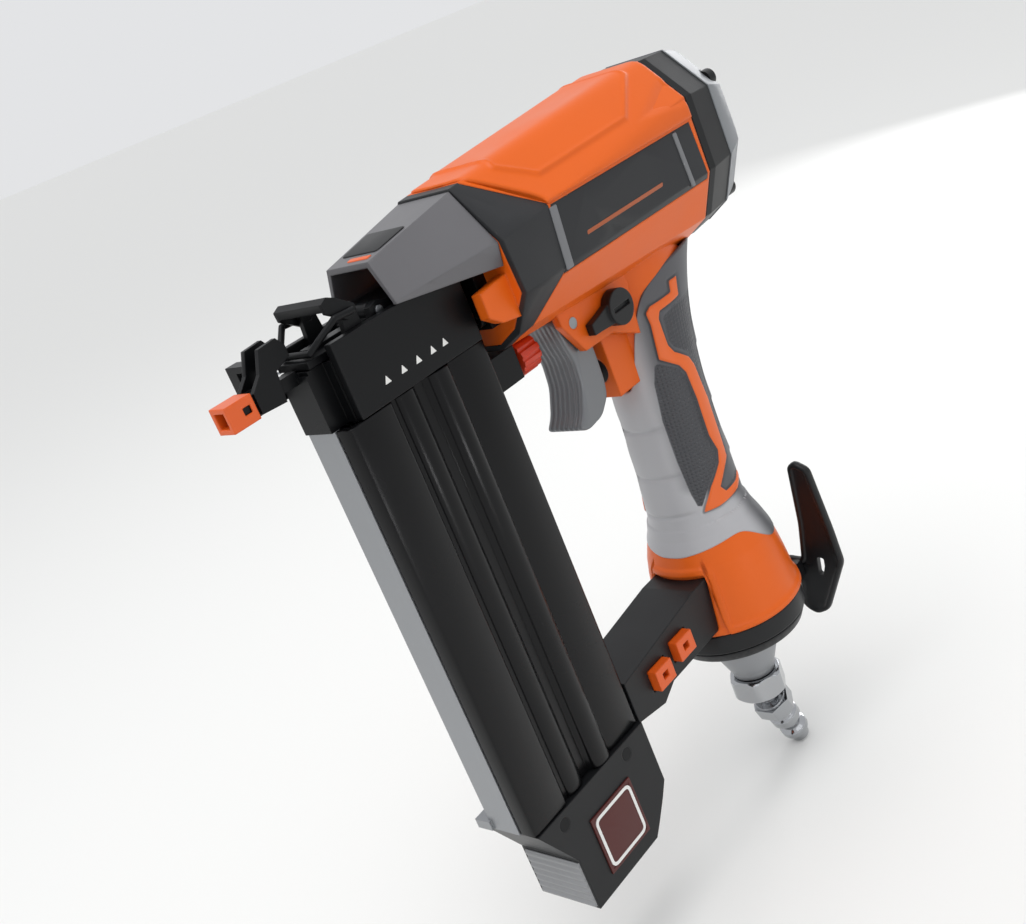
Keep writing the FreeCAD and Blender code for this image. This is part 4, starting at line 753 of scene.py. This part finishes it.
@dataclass
class HandleSkin:
    """The rubber overmould and the coated flare under it, round the handle's slightly bent axis."""

    heights: tuple = (-38.0, -58.0, -83.0, -127.0)
    axis_y: tuple = (181.0, 175.5, 172.5, 170.5)
    depth: tuple = (24.1, 19.3, 17.5, 18.9)
    width: tuple = (16.0, 16.3, 16.7, 18.1)
    foot_end: float = -169.0
    flare_heights: tuple = (-127.0, -131.0, -136.2, -142.0, -148.0, -155.0, -162.3, -169.2)
    flare_radii: tuple = (19.3, 20.4, 22.6, 24.6, 25.9, 26.9, 27.7, 28.7)
    mean_radius: float = 17.5
    flare_top: float = -128.0
    arch_top: float = -143.9
    grooves: tuple = (-86.4, -105.6, -121.5)
    back_steps: tuple = (-66.0, -88.0, -110.0)
    rubber_rows: int = 190
    flare_rows: int = 70
    cols: int = 288
    inner_rows: int = 30
    stripe: tuple = (
        (84, -38), (84, -41.8), (57, -42.5), (51.5, -44.2), (53.5, -48.8), (52, -61.5), (73.5, -66.8),
        (80.5, -70.5), (85, -81.5), (85, -96.5), (91, -103.5), (85.5, -107.8), (64.5, -114.2), (51.5, -120),
        (48, -122.2),
        (67.5, -122.6), (102.5, -121.8), (122, -119.6), (122, -117.2), (105.5, -118.8), (82, -119.0),
        (76, -116.2), (89, -111.8), (103.5, -108.2), (105.5, -102.5), (106.5, -84.8), (97.5, -70),
        (91, -66.2),
        (72, -61.5), (66.5, -58.2), (63.5, -48), (66.5, -45.5), (81.5, -45), (95, -44.5), (95, -38),
    )
    side_dots: tuple = (
        (45, -63), (50.5, -63), (72, -67.6), (79.0, -71.5), (83.5, -81.5), (83.5, -96.5), (89.0, -103.5),
        (84, -107.0), (63, -113.2), (48, -119.8), (43, -119.0), (40, -114.2), (36, -100.2), (34.5, -83.8),
        (38.5, -69.5),
    )
    rear_dots: tuple = (
        (69, -48.2), (84, -46.6), (100, -46.4), (126, -46), (126, -98), (112, -98), (108.5, -84),
        (100, -68.5),
        (92.5, -64.4), (74, -59.8), (69.5, -57),
    )
    top_line: tuple = (
        (0, -70.5), (12, -69.0), (22, -62.0), (31, -51.5), (46, -40.0), (58, -35.5), (80, -31.5),
        (110, -30.0), (180, -30.0),
    )
    low_line: tuple = (
        (0, -136.6), (10, -136.8), (28, -135.9), (48, -135.0), (66, -134.3), (78, -134.8), (89, -138.4),
        (102, -143.2), (112, -145.2), (150, -144.2), (180, -143.6),
    )

    def shape(self, turn: np.ndarray, z: np.ndarray) -> tuple[np.ndarray, np.ndarray, np.ndarray]:
        """Centre and half sizes of the handle's oval at a height.

        Above the flare each is the cubic through its four known heights, and below it the circle of
        the flare's profile.

        Args:
            turn: angle from the front, for its shape only.
            z: heights.

        Returns:
            The oval's centre, half depth and half width.
        """
        in_flare = z < self.heights[-1]
        high = np.maximum(z, self.heights[-1])
        radius = np.interp(-z, -np.array(self.flare_heights), self.flare_radii)
        known = (self.axis_y, self.depth, self.width)
        centre, deep, wide = (np.polyval(np.polyfit(self.heights, row, 3), high) for row in known)
        blend = smooth_step(-z, -self.heights[-1] - 3.0, -self.heights[-1] + 3.0)
        deep = np.where(in_flare, radius, deep * (1 - blend) + radius * blend)
        wide = np.where(in_flare, radius, wide * (1 - blend) + radius * blend)
        return centre + 0 * turn, deep + 0 * turn, wide + 0 * turn

    def place(self, turn: np.ndarray, z: np.ndarray, out: np.ndarray) -> np.ndarray:
        """Points on the handle, a distance out from its oval.

        Args:
            turn: angle from the front, positive towards +X.
            z: heights.
            out: distance outwards.

        Returns:
            (..., 3) points.
        """
        centre, deep, wide = self.shape(turn, z)
        x = (wide + out) * np.sin(turn)
        y = centre - (deep + out) * np.cos(turn)
        return np.stack([x, y, z + 0 * turn], -1)

    def inner_wall(self, turn: np.ndarray, z: np.ndarray) -> np.ndarray:
        """The skin's hidden wall, from bottom to top, just inside the oval.

        Args:
            turn: angle from the front.
            z: heights of the outer wall's rows.

        Returns:
            (inner_rows, cols, 3) points.
        """
        picked = np.linspace(len(z) - 1, 0, self.inner_rows).astype(int)
        return self.place(turn, z[picked], np.full((self.inner_rows, 1), -0.4))

    def turns(self) -> tuple[np.ndarray, np.ndarray]:
        """The columns' angles from the front, in radians, and their sizes in degrees."""
        turn = np.linspace(-math.pi, math.pi, self.cols, endpoint=False)[None, :]
        return turn, np.degrees(np.abs(turn))

    def edge_line(self, degrees: np.ndarray, line: tuple) -> np.ndarray:
        """Height of an edge round the handle, softened by a bell-shaped weight over 17 columns.

        Args:
            degrees: the columns' angles from the front.
            line: (angle, height) points that the edge joins.

        Returns:
            (1, cols) heights.
        """
        soft = np.exp(-0.5 * (np.linspace(-2, 2, 17)) ** 2)
        soft /= soft.sum()
        edge = np.interp(degrees, *zip(*line))
        return np.convolve(np.concatenate([edge[0, -8:], edge[0], edge[0, :8]]), soft, "valid")[None]

    def zone(self, spot: np.ndarray, corners: tuple) -> np.ndarray:
        """Distance into a zone whose corners are (degrees from the front, height)."""
        return distance_into(spot, np.array(corners) * [math.radians(self.mean_radius), 1.0])

    def with_inner(self, values: np.ndarray) -> np.ndarray:
        """A zone's distances, with the inner wall's points far outside it."""
        return np.concatenate([values, np.full((self.inner_rows, self.cols), FAR_OUTSIDE)])

    def build(self) -> None:
        """Makes the rubber sleeve and the flare's coat."""
        self.build_rubber()
        self.build_flare()

    def build_rubber(self) -> None:
        """Makes the rubber sleeve.

        Angle and height run over the sleeve, between its two edges. The stripe stands out, the
        dotted fields sink a little, shallow grooves split the front into finger bands that swell
        between them, and steps run across the back.
        """
        turn, degrees = self.turns()
        top, low = (self.edge_line(degrees, line) for line in (self.top_line, self.low_line))
        t = np.linspace(0.0, 1.0, self.rubber_rows)[:, None]
        z = top * (1 - t) + low * t
        spot = np.stack([np.radians(degrees) * self.mean_radius + 0 * z, z], -1)
        stripe = self.zone(spot, self.stripe)
        dots = np.maximum(self.zone(spot, self.side_dots), self.zone(spot, self.rear_dots))
        # The pale front zone widens round the lower handle and fades over about 30 degrees into the dark
        # back: partly the real pale front rubber, partly painted light on the lit front and painted shade
        # towards the back.
        reach = 38.0 + 62.0 * smooth_step(-z, 110.0, 126.0)
        front = 0.30 * (reach - degrees)
        out = 0.75 + 0.45 * smooth_step(stripe, -0.25, 0.35) - 0.35 * smooth_step(dots, -0.2, 0.6)
        out -= 0.35 * np.exp(-(((stripe + 0.7) / 0.45) ** 2))
        finger = smooth_step(-degrees, -44.0, -30.0)
        for groove in self.grooves:
            out -= 0.55 * finger * np.exp(-(((z - groove) / 0.8) ** 2))
        swell = np.sin(np.clip((z + 124.5) / 19.0, 0, 3) * math.pi) ** 2
        out += 0.45 * finger * swell * (z < -67.4) * (z > -124.5)
        pad = smooth_step(degrees, 128.0, 136.0)
        for step in self.back_steps:
            ramp = smooth_step(-z, -step - 14.0, -step + 2.0)
            out += 0.55 * pad * smooth_step(z, step - 0.5, step + 0.5) * ramp
        out *= 0.3 + 0.7 * quarter_round(np.minimum(top - z, z - low), 0.9)
        outer = self.place(turn, z, out)
        grid = np.concatenate([outer, self.inner_wall(turn, z)])
        uv = np.stack([turn * self.mean_radius * MM + 0 * z, z * MM], -1)
        uv = np.concatenate([uv, uv[: self.inner_rows] * 0])
        Piece("grip_overmould", "tool", GRIP_RUBBER, ("grip_sleeve",)).from_grid(
            grid, wrap_rows=True, uv=uv,
            zones={
                "stripe_zone": self.with_inner(stripe),
                "dot_zone": self.with_inner(dots),
                "pale_front_and_painted_light": self.with_inner(front),
            },
        )

    def build_flare(self) -> None:
        """Makes the flare's coat: a bell with a raised rim that arches over the bracket's socket."""
        turn, degrees = self.turns()
        t = np.linspace(0.0, 1.0, self.flare_rows)[:, None]
        arch = smooth_step(degrees, 27.0, 33.0)
        end = self.arch_top * (1 - arch) + self.foot_end * arch
        z = self.flare_top * (1 - t) + end * t
        rim = z - end
        side = np.abs(degrees - 30.0) * 0.46 + np.clip(z - self.arch_top, 0, None)
        near = np.where(degrees < 36, np.minimum(rim, side), rim)
        out = 0.35 + 0.75 * smooth_step(-near, -3.4, -2.4)
        out *= 0.4 + 0.6 * quarter_round(near, 0.8)
        outer = self.place(turn, z, out)
        grid = np.concatenate([outer, self.inner_wall(turn, z)])
        Piece("flare_coat", "tool", ORANGE_COAT).from_grid(grid, wrap_rows=True)


@dataclass
class Coil:
    """A compression spring along Y."""

    node: str
    body: str
    joint: str
    radius: float
    wire: float
    turns: int
    start: float
    length: float
    travel: float
    x: float = 0.0
    z: float = 0.0
    fixed_at_start: bool = False
    turn_steps: int = 24
    wire_steps: int = 10
    sharp_deg: float = 60.0

    def build(self) -> None:
        """Makes the spring: a circle carried along a helix, closed at both ends.

        At an angle a along the wire the centre is at the radius and angle a about the axis, and it
        climbs evenly. Round the wire the point moves out along the radius and along the axis.
        """
        along = np.linspace(0.0, 2 * math.pi * self.turns, self.turn_steps * self.turns + 1)[:, None]
        around = np.linspace(0.0, 2 * math.pi, self.wire_steps, endpoint=False)[None, :]
        out = self.radius + self.wire * np.cos(around)
        climb = (self.length - 2 * self.wire) * along / along[-1, 0]
        y = self.start + self.wire + climb + self.wire * np.sin(around)
        grid = np.stack([self.x + out * np.cos(along), y, self.z + out * np.sin(along)], -1)
        piece = Piece(f"{self.node}_wire", self.body, TOOL_STEEL, (self.node,), self.sharp_deg)
        made = piece.from_grid(grid)
        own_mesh(made)


SPRINGS = (
    Coil("head_valve_spring", "tool", "head_valve_lift", 11.0, 0.9, 5, 209.0, 24.0, 4.0),
    Coil("valve_spring", "tool", "valve_press", 2.2, 0.35, 6, 151.1, 8.9, 4.5, z=-56.0),
    Coil("contact_spring", "tool", "contact_press", 2.2, 0.4, 9, 23.5, 24.0, 7.0, x=-16.1, z=1.6),
    Coil(
        "latch_spring", "magazine_cover", "magazine_release", 2.0, 0.4, 3, 83.0, 4.2, 1.75,
        z=-191.5, fixed_at_start=True,
    ),
)


@dataclass
class ShroudPlate:
    """The bare dark plate and the small orange bar on the shroud's top.

    Each row is a name, a finish, how far it stands out, its rim, its corner rounding and its
    (x, y) corners.
    """

    front: float = 60.0
    front_top: float = 20.0
    rise: float = 6.8 / 38.1
    sunk: float = 0.5
    rows: tuple = (
        ("shroud_plate", BLACK_NYLON, 0.35, 0.2, 1.4,
         ((-8.4, 66.0), (8.4, 66.0), (9.0, 79.5), (-9.0, 79.5))),
        ("shroud_bar", ORANGE_PLASTIC, 0.25, 0.15, 0.5,
         ((-2.0, 62.2), (7.6, 62.2), (7.8, 64.2), (-2.0, 64.2))),
    )

    def top(self, x: np.ndarray, y: np.ndarray) -> np.ndarray:
        """Height of the shroud's flat top, which is level across x."""
        return self.front_top + self.rise * (y - self.front)

    def build(self) -> None:
        """Makes the plate and the bar."""
        for name, finish, proud, edge, rounding, corners in self.rows:
            outline = round_corners(np.array(corners), rounding)
            Piece(name, "tool", finish).carried(outline, Axis.Z, -self.sunk, proud, edge, self.top)


@dataclass
class BeltHook:
    """The turning ring under the flare, its lug and the strap with a raised rim and a window."""

    centre_y: float = 170.5
    radius: float = 28.6
    wall: float = 5.0
    top: float = -169.3
    low: float = -177.5
    strap_y: float = 200.7
    thick: float = 3.2
    foot: float = 9.0
    edge: float = 1.1
    bead_insets: tuple = (1.7, 2.3, 2.7)
    bead_depths: tuple = (0.0, 0.5, 0.6)
    field_shares: tuple = (0.6, 0.25, 0.0)
    ring_gap: float = 0.06
    ring_cols: int = 128
    strap: tuple = (
        (3.0, -17.0), (1.0, -13.5), (4.0, -3.5), (0.0, 0.0), (0.0, 8.2), (7.5, 7.2), (11.3, 24.0),
        (14.5, 50.0), (18.0, 52.0), (23.5, 48.5), (25.5, 21.5), (26.0, 6.0), (13.0, -17.0), (7.0, -19.5),
    )
    window: tuple = ((15.0, 8.5), (18.0, 8.0), (16.6, -0.5), (13.6, 0.0))

    def build_strap(self) -> None:
        """Makes the strap.

        Rings run out from the window over the back, round the rounded rim, over a raised bead and
        across the front back to the window. A ring inside the rim is the outline moved inwards, and
        the window's ring is read at the same angle about the window's middle.
        """
        origin = np.array([self.foot, self.low])
        outer = round_corners(np.array(self.strap), 2.2)
        window = round_corners(np.array(self.window), 1.2)
        middle = window.mean(0)
        side = np.arctan2(*(outer - middle).T[::-1])
        hole_side = np.arctan2(*(window - middle).T[::-1])
        order = np.argsort(hole_side)
        known = hole_side[order], window[order]
        hole = np.stack([np.interp(side, known[0], known[1][:, k], period=2 * math.pi) for k in (0, 1)], 1)
        angle = np.linspace(0.0, 0.5 * math.pi, 5)
        sunk, rim = (self.edge * (1 - wave(angle)) for wave in (np.sin, np.cos))
        inset = np.concatenate([sunk, sunk[::-1], self.bead_insets])
        depth = np.concatenate([rim, self.thick - rim[::-1], self.thick - np.array(self.bead_depths)])
        rings = [shrunk(outer, k) for k in inset]
        flat = [(1.0 - k) * hole + k * rings[-1] for k in self.field_shares]
        grid_2d = np.stack(rings + flat + [hole]) + origin
        way = np.concatenate([depth, np.full(len(flat), self.thick - self.bead_depths[-1]), [0.0]])
        y = np.broadcast_to((self.strap_y + self.thick - way)[:, None], grid_2d.shape[:2])
        grid = np.stack([grid_2d[..., 0], y, grid_2d[..., 1]], -1)
        Piece("hook_strap", "belt_hook", BLACK_NYLON, ("belt_hook",)).from_grid(grid, wrap_rows=True)

    def build_ring(self) -> None:
        """Makes the ring: a rounded rectangle carried round the handle's axis."""
        inner = self.radius - self.wall + self.ring_gap
        corners = [(inner, self.low), (self.radius, self.low), (self.radius, self.top), (inner, self.top)]
        section = round_corners(np.array(corners), 0.9)
        turn = np.linspace(0.0, 2 * math.pi, self.ring_cols, endpoint=False)[:, None]
        x = section[None, :, 0] * np.cos(turn)
        y = self.centre_y + section[None, :, 0] * np.sin(turn)
        grid = np.stack([x, y, np.broadcast_to(section[None, :, 1], x.shape)], -1)
        Piece("hook_ring", "belt_hook", BLACK_NYLON).from_grid(grid, wrap_rows=True)

    def build_lug(self) -> None:
        """Makes the lug between ring and strap."""
        rear = self.strap_y + 0.6
        far = self.foot + 7.5
        corners = [(self.foot, 195.0), (far, 193.0), (far, rear), (self.foot, rear)]
        outline = round_corners(np.array(corners), 0.4)
        Piece("hook_lug", "belt_hook", BLACK_NYLON).carried(outline, Axis.Z, self.low, self.top - 1.0, 0.4)

    def build(self) -> None:
        """Makes the hook."""
        self.build_strap()
        self.build_ring()
        self.build_lug()


@dataclass
class Magazine:
    """The sliding cover with its two ridges, the cap's ribbed face, the badge and the size marks."""

    top: float = -18.0
    end: float = -166.0
    face: float = 13.0
    rear: float = 89.0
    marks: tuple = (47.0, 54.0, 60.5, 67.0, 72.5)
    ribs_top: float = -187.2
    ribs_end: float = -206.0
    rib_pitch: float = 2.8
    rib_depth: float = 0.45
    rib_rows: int = 90
    cap_half: float = 12.6
    cap_front: float = 40.0
    badge_x: float = 14.0
    badge_sunk: float = 0.3
    badge_corners: tuple = ((51.6, -199.8), (72.2, -199.8), (72.2, -179.2), (51.6, -179.2))

    def ridge(self, centre: float, half: float, base: float, rise: float) -> np.ndarray:
        """Points over a rounded ridge: half an ellipse.

        Args:
            centre: y of its crest.
            half: half its width.
            base: x of its foot.
            rise: its height.

        Returns:
            (n, 2) points from front to rear.
        """
        angle = np.linspace(0.0, math.pi, 15)
        return np.stack([base + rise * np.sin(angle), centre - half * np.cos(angle)], 1)

    def build_cover(self) -> None:
        """Carries the cover's hooked section down the magazine."""
        face, rear = self.face, self.rear
        outside = [
            np.array([
                (6.6, 27.9), (face - 1.4, 27.9), (face - 0.4, 28.4), (face, 29.6), (face, 44.6),
                (face - 0.5, 45.5), (face - 1.8, 46.4), (face - 1.8, 47.9),
            ]),
            self.ridge(52.0, 4.0, face - 1.8, 1.4),
            np.array([(face - 1.8, 56.2), (face - 2.7, 57.2), (face - 2.9, 61.0), (face - 1.7, 62.3)]),
            self.ridge(67.0, 4.6, face - 1.6, 2.2),
            np.array([
                (face - 1.6, 71.8), (face - 1.1, 73.2), (face - 1.0, rear - 1.4), (face - 1.5, rear - 0.3),
                (face - 2.6, rear), (-0.5, rear), (-0.5, rear - 1.4), (9.4, rear - 1.4), (9.4, 74.6),
                (8.6, 73.0), (8.0, 60.0), (8.8, 46.6), (10.8, 44.0), (10.8, 30.4), (6.6, 30.4),
            ]),
        ]
        cover = Piece("cover_extrusion", "magazine_cover", BLACK_ANODISED, ("magazine_cover",))
        cover.carried(np.concatenate(outside), Axis.Z, self.end, self.top, 0.25)

    def build_cap_face(self) -> None:
        """Makes the cap's pale front face, with ribs across it.

        Down the face its front stands out by the rib's depth times the square of a sine that
        repeats at the rib's pitch.
        """
        z = np.linspace(self.ribs_top, self.ribs_end, self.rib_rows)
        rib = self.rib_depth * np.sin((z - self.ribs_top) / self.rib_pitch * math.pi) ** 2
        half = self.cap_half
        x = np.array([-half, -half + 0.4, 0.0, half - 0.4, half, half, -half])
        depth = np.array([0.0, 1.0, 1.0, 1.0, 0.0, -1.0, -1.0])
        lean = np.array([0, 1, 1, 1, 0, 0, 0])
        y = self.cap_front - 0.35 * depth[None] - rib[:, None] * lean[None]
        grid = np.stack([np.broadcast_to(x, y.shape), y, np.broadcast_to(z[:, None], y.shape)], -1)
        Piece("cap_ribbed_face", "magazine_cover", PALE_RIBS).from_grid(grid)

    def build_badge(self) -> None:
        """Makes the bare badge on the cap: a white frame round a dark red field."""
        outer = round_corners(np.array(self.badge_corners), 3.2, 6)
        inner = shrunk(outer, 1.2)
        ring = np.stack([outer, outer, inner, inner])
        x, low = self.badge_x, self.badge_x - self.badge_sunk
        depth = np.array([low, x + 0.22, x + 0.22, low])
        grid = np.concatenate([np.broadcast_to(depth[:, None, None], (4, len(outer), 1)), ring], -1)
        Piece("badge_frame", "magazine_cover", WHITE_PRINT).from_grid(grid, wrap_rows=True)
        Piece("badge_field", "magazine_cover", BADGE_RED).carried(inner, Axis.X, low, x + 0.1, 0.05)

    def build_marks(self) -> None:
        """Makes the row of small triangles above the magazine."""
        for number, y in enumerate(self.marks):
            outline = round_corners(np.array([(y - 1.3, -12.6), (y + 1.3, -12.6), (y, -10.2)]), 0.2, 2)
            Piece(f"size_mark_{number}", "tool", WHITE_PRINT).carried(outline, Axis.X, 13.1, 13.28, 0.04)

    def build(self) -> None:
        """Makes the magazine's visible pieces."""
        self.build_cover()
        self.build_cap_face()
        self.build_badge()
        self.build_marks()


@dataclass
class Trigger:
    """The cast trigger with fine ribs down its finger face."""

    pivot_y: float = 129.3
    pivot_z: float = -31.4
    half: float = 8.0
    pitch: float = 2.2
    rib_depth: float = 0.22
    plain_rim: float = 1.2
    edge: float = 0.9
    corner_steps: int = 5
    cols: int = 97
    corners: tuple = (
        (-4.7, 3.4), (-3.6, -5.5), (-1.7, -13.0), (-2.6, -22.0), (-7.0, -31.0), (-11.0, -35.0),
        (-6.5, -37.0), (2.0, -36.0), (8.0, -31.0), (9.4, -25.0), (9.8, -13.0), (7.8, -3.0), (4.0, 4.0),
    )

    def build(self) -> None:
        """Makes the trigger.

        The rounded side outline runs across the width. Its front run swings in and out by a cosine
        of the rib pitch, and its rims are rounded. The front run is the points from the second
        corner's first to the sixth corner's fourth.
        """
        outline = round_corners(np.array(self.corners), 2.4, self.corner_steps)
        outline = outline + [self.pivot_y, self.pivot_z]
        x = np.linspace(-self.half, self.half, self.cols)
        inset = self.edge * (1 - quarter_round(self.half - np.abs(x), self.edge))
        per_corner = self.corner_steps + 1
        front = np.zeros(len(outline))
        front[per_corner : 5 * per_corner + 4] = 1.0
        ribbed = np.abs(x) < self.half - self.plain_rim
        ribs = self.rib_depth * (1 - np.cos(2 * math.pi * x / self.pitch)) * ribbed
        normal = outline - shrunk(outline, 1.0)
        sunk = inset[:, None, None] + (ribs[:, None] * front[None])[..., None]
        rings = outline[None] - normal[None] * sunk
        grid = np.concatenate([np.broadcast_to(x[:, None, None], (self.cols, len(outline), 1)), rings], -1)
        Piece("trigger_casting", "trigger", TRIGGER_GREY, ("trigger",)).from_grid(grid)


# Width of the rounding on each CAD node's sharp edges.
EASED = {
    "nose_shroud": 0.6, "front_collar": 0.6, "rear_ring": 0.6, "rear_cap": 0.8, "magazine_end_cap": 0.5,
    "magazine_bracket": 0.6, "nose_side_plates": 0.4, "nose_body": 0.25, "nose_gate": 0.3,
    "work_contact_arm": 0.25,
    "no_mar_tip": 0.3, "spare_tip_front": 0.3, "spare_tip_rear": 0.3, "magazine_latch": 0.4,
    "latch_lever": 0.3,
    "mode_selector": 0.4, "side_panel_left": 0.3, "side_panel_right": 0.3, "magazine_rail": 0.2,
    "handle_end_cap": 0.5, "depth_wheel": 0.25, "air_plug": 0.15, "swivel_body": 0.25,
}

def dress_cad() -> None:
    """Gives every CAD node the finish of its slot, and rounds the sharp edges of those listed in EASED."""
    finishes = {finish.slot: finish for finish in FINISHES}
    slots = {part["node"]: part["material_slot"] for part in frame["record"]["subparts"]}
    for name, node in frame["nodes"].items():
        node.data.materials.clear()
        node.data.materials.append(finishes[slots[name]].material())
        if name in EASED:
            ease_edges(node, EASED[name])


def ease_edges(node: bpy.types.Object, width_mm: float) -> None:
    """Rounds a CAD node's sharp edges with modifiers: merged, its flats joined, then bevelled.

    Args:
        node: the CAD node.
        width_mm: width of the rounding.
    """
    weld = node.modifiers.new("merged", "WELD")
    weld.merge_threshold = 1e-6
    flats = node.modifiers.new("flats", "DECIMATE")
    flats.decimate_type = "DISSOLVE"
    flats.angle_limit = math.radians(0.5)
    bevel = node.modifiers.new("eased", "BEVEL")
    bevel.width = width_mm * MM
    bevel.segments = 2
    bevel.limit_method = "ANGLE"
    bevel.angle_limit = math.radians(28.0)
    bevel.harden_normals = True


# ---------------------------------------------------------------- stage
@dataclass
class Studio:
    """Pale floor, soft lights and the camera.

    Each lamp is a name, its place as shares of the camera's right, up and back, its distance from
    the tool and its side in metres, and its power in watts.
    """

    right: tuple = (0.708, 0.609, -0.357)
    up: tuple = (0.020, 0.489, 0.872)
    back: tuple = (0.705, -0.625, 0.334)
    camera_mm: tuple = (292.2, -167.5, 75.2)
    lens_mm: float = 43.9
    centre_mm: tuple = (0.0, 120.0, -90.0)
    floor_m: float = 60.0
    lamps: tuple = (
        ("key", (-0.55, 1.0, 0.75), 1.1, 0.7, 5.0),
        ("strip", (0.73, -0.16, 0.59), 1.1, 0.22, 3.0),
        ("rim", (0.5, 0.8, -0.8), 1.2, 0.5, 3.5),
    )
    sun_watts: float = 0.45
    sky_strength: float = 0.85

    def light(self, name: str, toward: tuple, away: float, size: float, watts: float) -> None:
        """One square area light.

        Args:
            name: the light's name.
            toward: where it stands, as shares of the camera's right, up and back.
            away: distance from the tool in metres.
            size: its side in metres.
            watts: its power.
        """
        lamp = bpy.data.lights.new(name, "AREA")
        lamp.energy = watts
        lamp.size = size
        holder = placed(name, lamp)
        way = sum((Vector(a) * s for a, s in zip((self.right, self.up, self.back), toward)), Vector())
        way.normalize()
        holder.location = Vector(self.centre_mm) * MM + way * away
        holder.rotation_euler = way.to_track_quat("Z", "Y").to_euler()

    def build(self) -> None:
        """Makes the floor, the lights and sky, and the camera."""
        self.build_floor()
        self.build_lights()
        self.build_camera()

    def build_floor(self) -> None:
        """Makes the floor: a wide square of matt paper under the tool."""
        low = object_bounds()[0][2]
        mesh = bpy.data.meshes.new("floor")
        far = self.floor_m
        corners = [(-far, -far, low), (far, -far, low), (far, far, low), (-far, far, low)]
        mesh.from_pydata(corners, [], [(0, 1, 2, 3)])
        paper = bpy.data.materials.new("matt_paper_white")
        paper.use_nodes = True
        shader = paper.node_tree.nodes["Principled BSDF"]
        shader.inputs["Base Color"].default_value = linear("E8E8E6")
        shader.inputs["Roughness"].default_value = 0.9
        mesh.materials.append(paper)
        floor = placed("floor", mesh)
        floor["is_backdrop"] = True

    def build_lights(self) -> None:
        """Makes the lamps, a broad sun overhead and the sky."""
        for lamp in self.lamps:
            self.light(*lamp)
        overhead = bpy.data.lights.new("overhead", "SUN")
        overhead.energy = self.sun_watts
        overhead.angle = math.radians(60.0)
        holder = placed("overhead", overhead)
        holder.rotation_euler = Vector((0.25, -0.35, 1.0)).to_track_quat("Z", "Y").to_euler()
        world = bpy.data.worlds.new("soft_sky")
        bpy.context.scene.world = world
        world.use_nodes = True
        sky = world.node_tree.nodes["Background"]
        sky.inputs["Color"].default_value = linear("F4F5F7")
        sky.inputs["Strength"].default_value = self.sky_strength

    def build_camera(self) -> None:
        """Makes the camera and picks the plain view transform."""
        lens = bpy.data.cameras.new("camera")
        lens.lens = self.lens_mm
        lens.sensor_width = 36.0
        lens.clip_start = 0.01
        camera = placed("camera", lens)
        turn = Matrix([self.right, self.up, self.back]).transposed().to_4x4()
        camera.matrix_world = Matrix.Translation(Vector(self.camera_mm) * MM) @ turn
        bpy.context.scene.camera = camera
        bpy.context.scene.view_settings.view_transform = "Standard"


def main() -> None:
    """Builds the tool and its stage."""
    logging.basicConfig(level=logging.INFO, format="%(message)s")
    dress_cad()
    barrel = BarrelShell()
    barrel.build()
    SidePanels(barrel).build()
    HandleSkin().build()
    BeltHook().build()
    ShroudPlate().build()
    for spring in SPRINGS:
        spring.build()
    Magazine().build()
    Trigger().build()
    Studio().build()


if __name__ == "__main__":
    main()
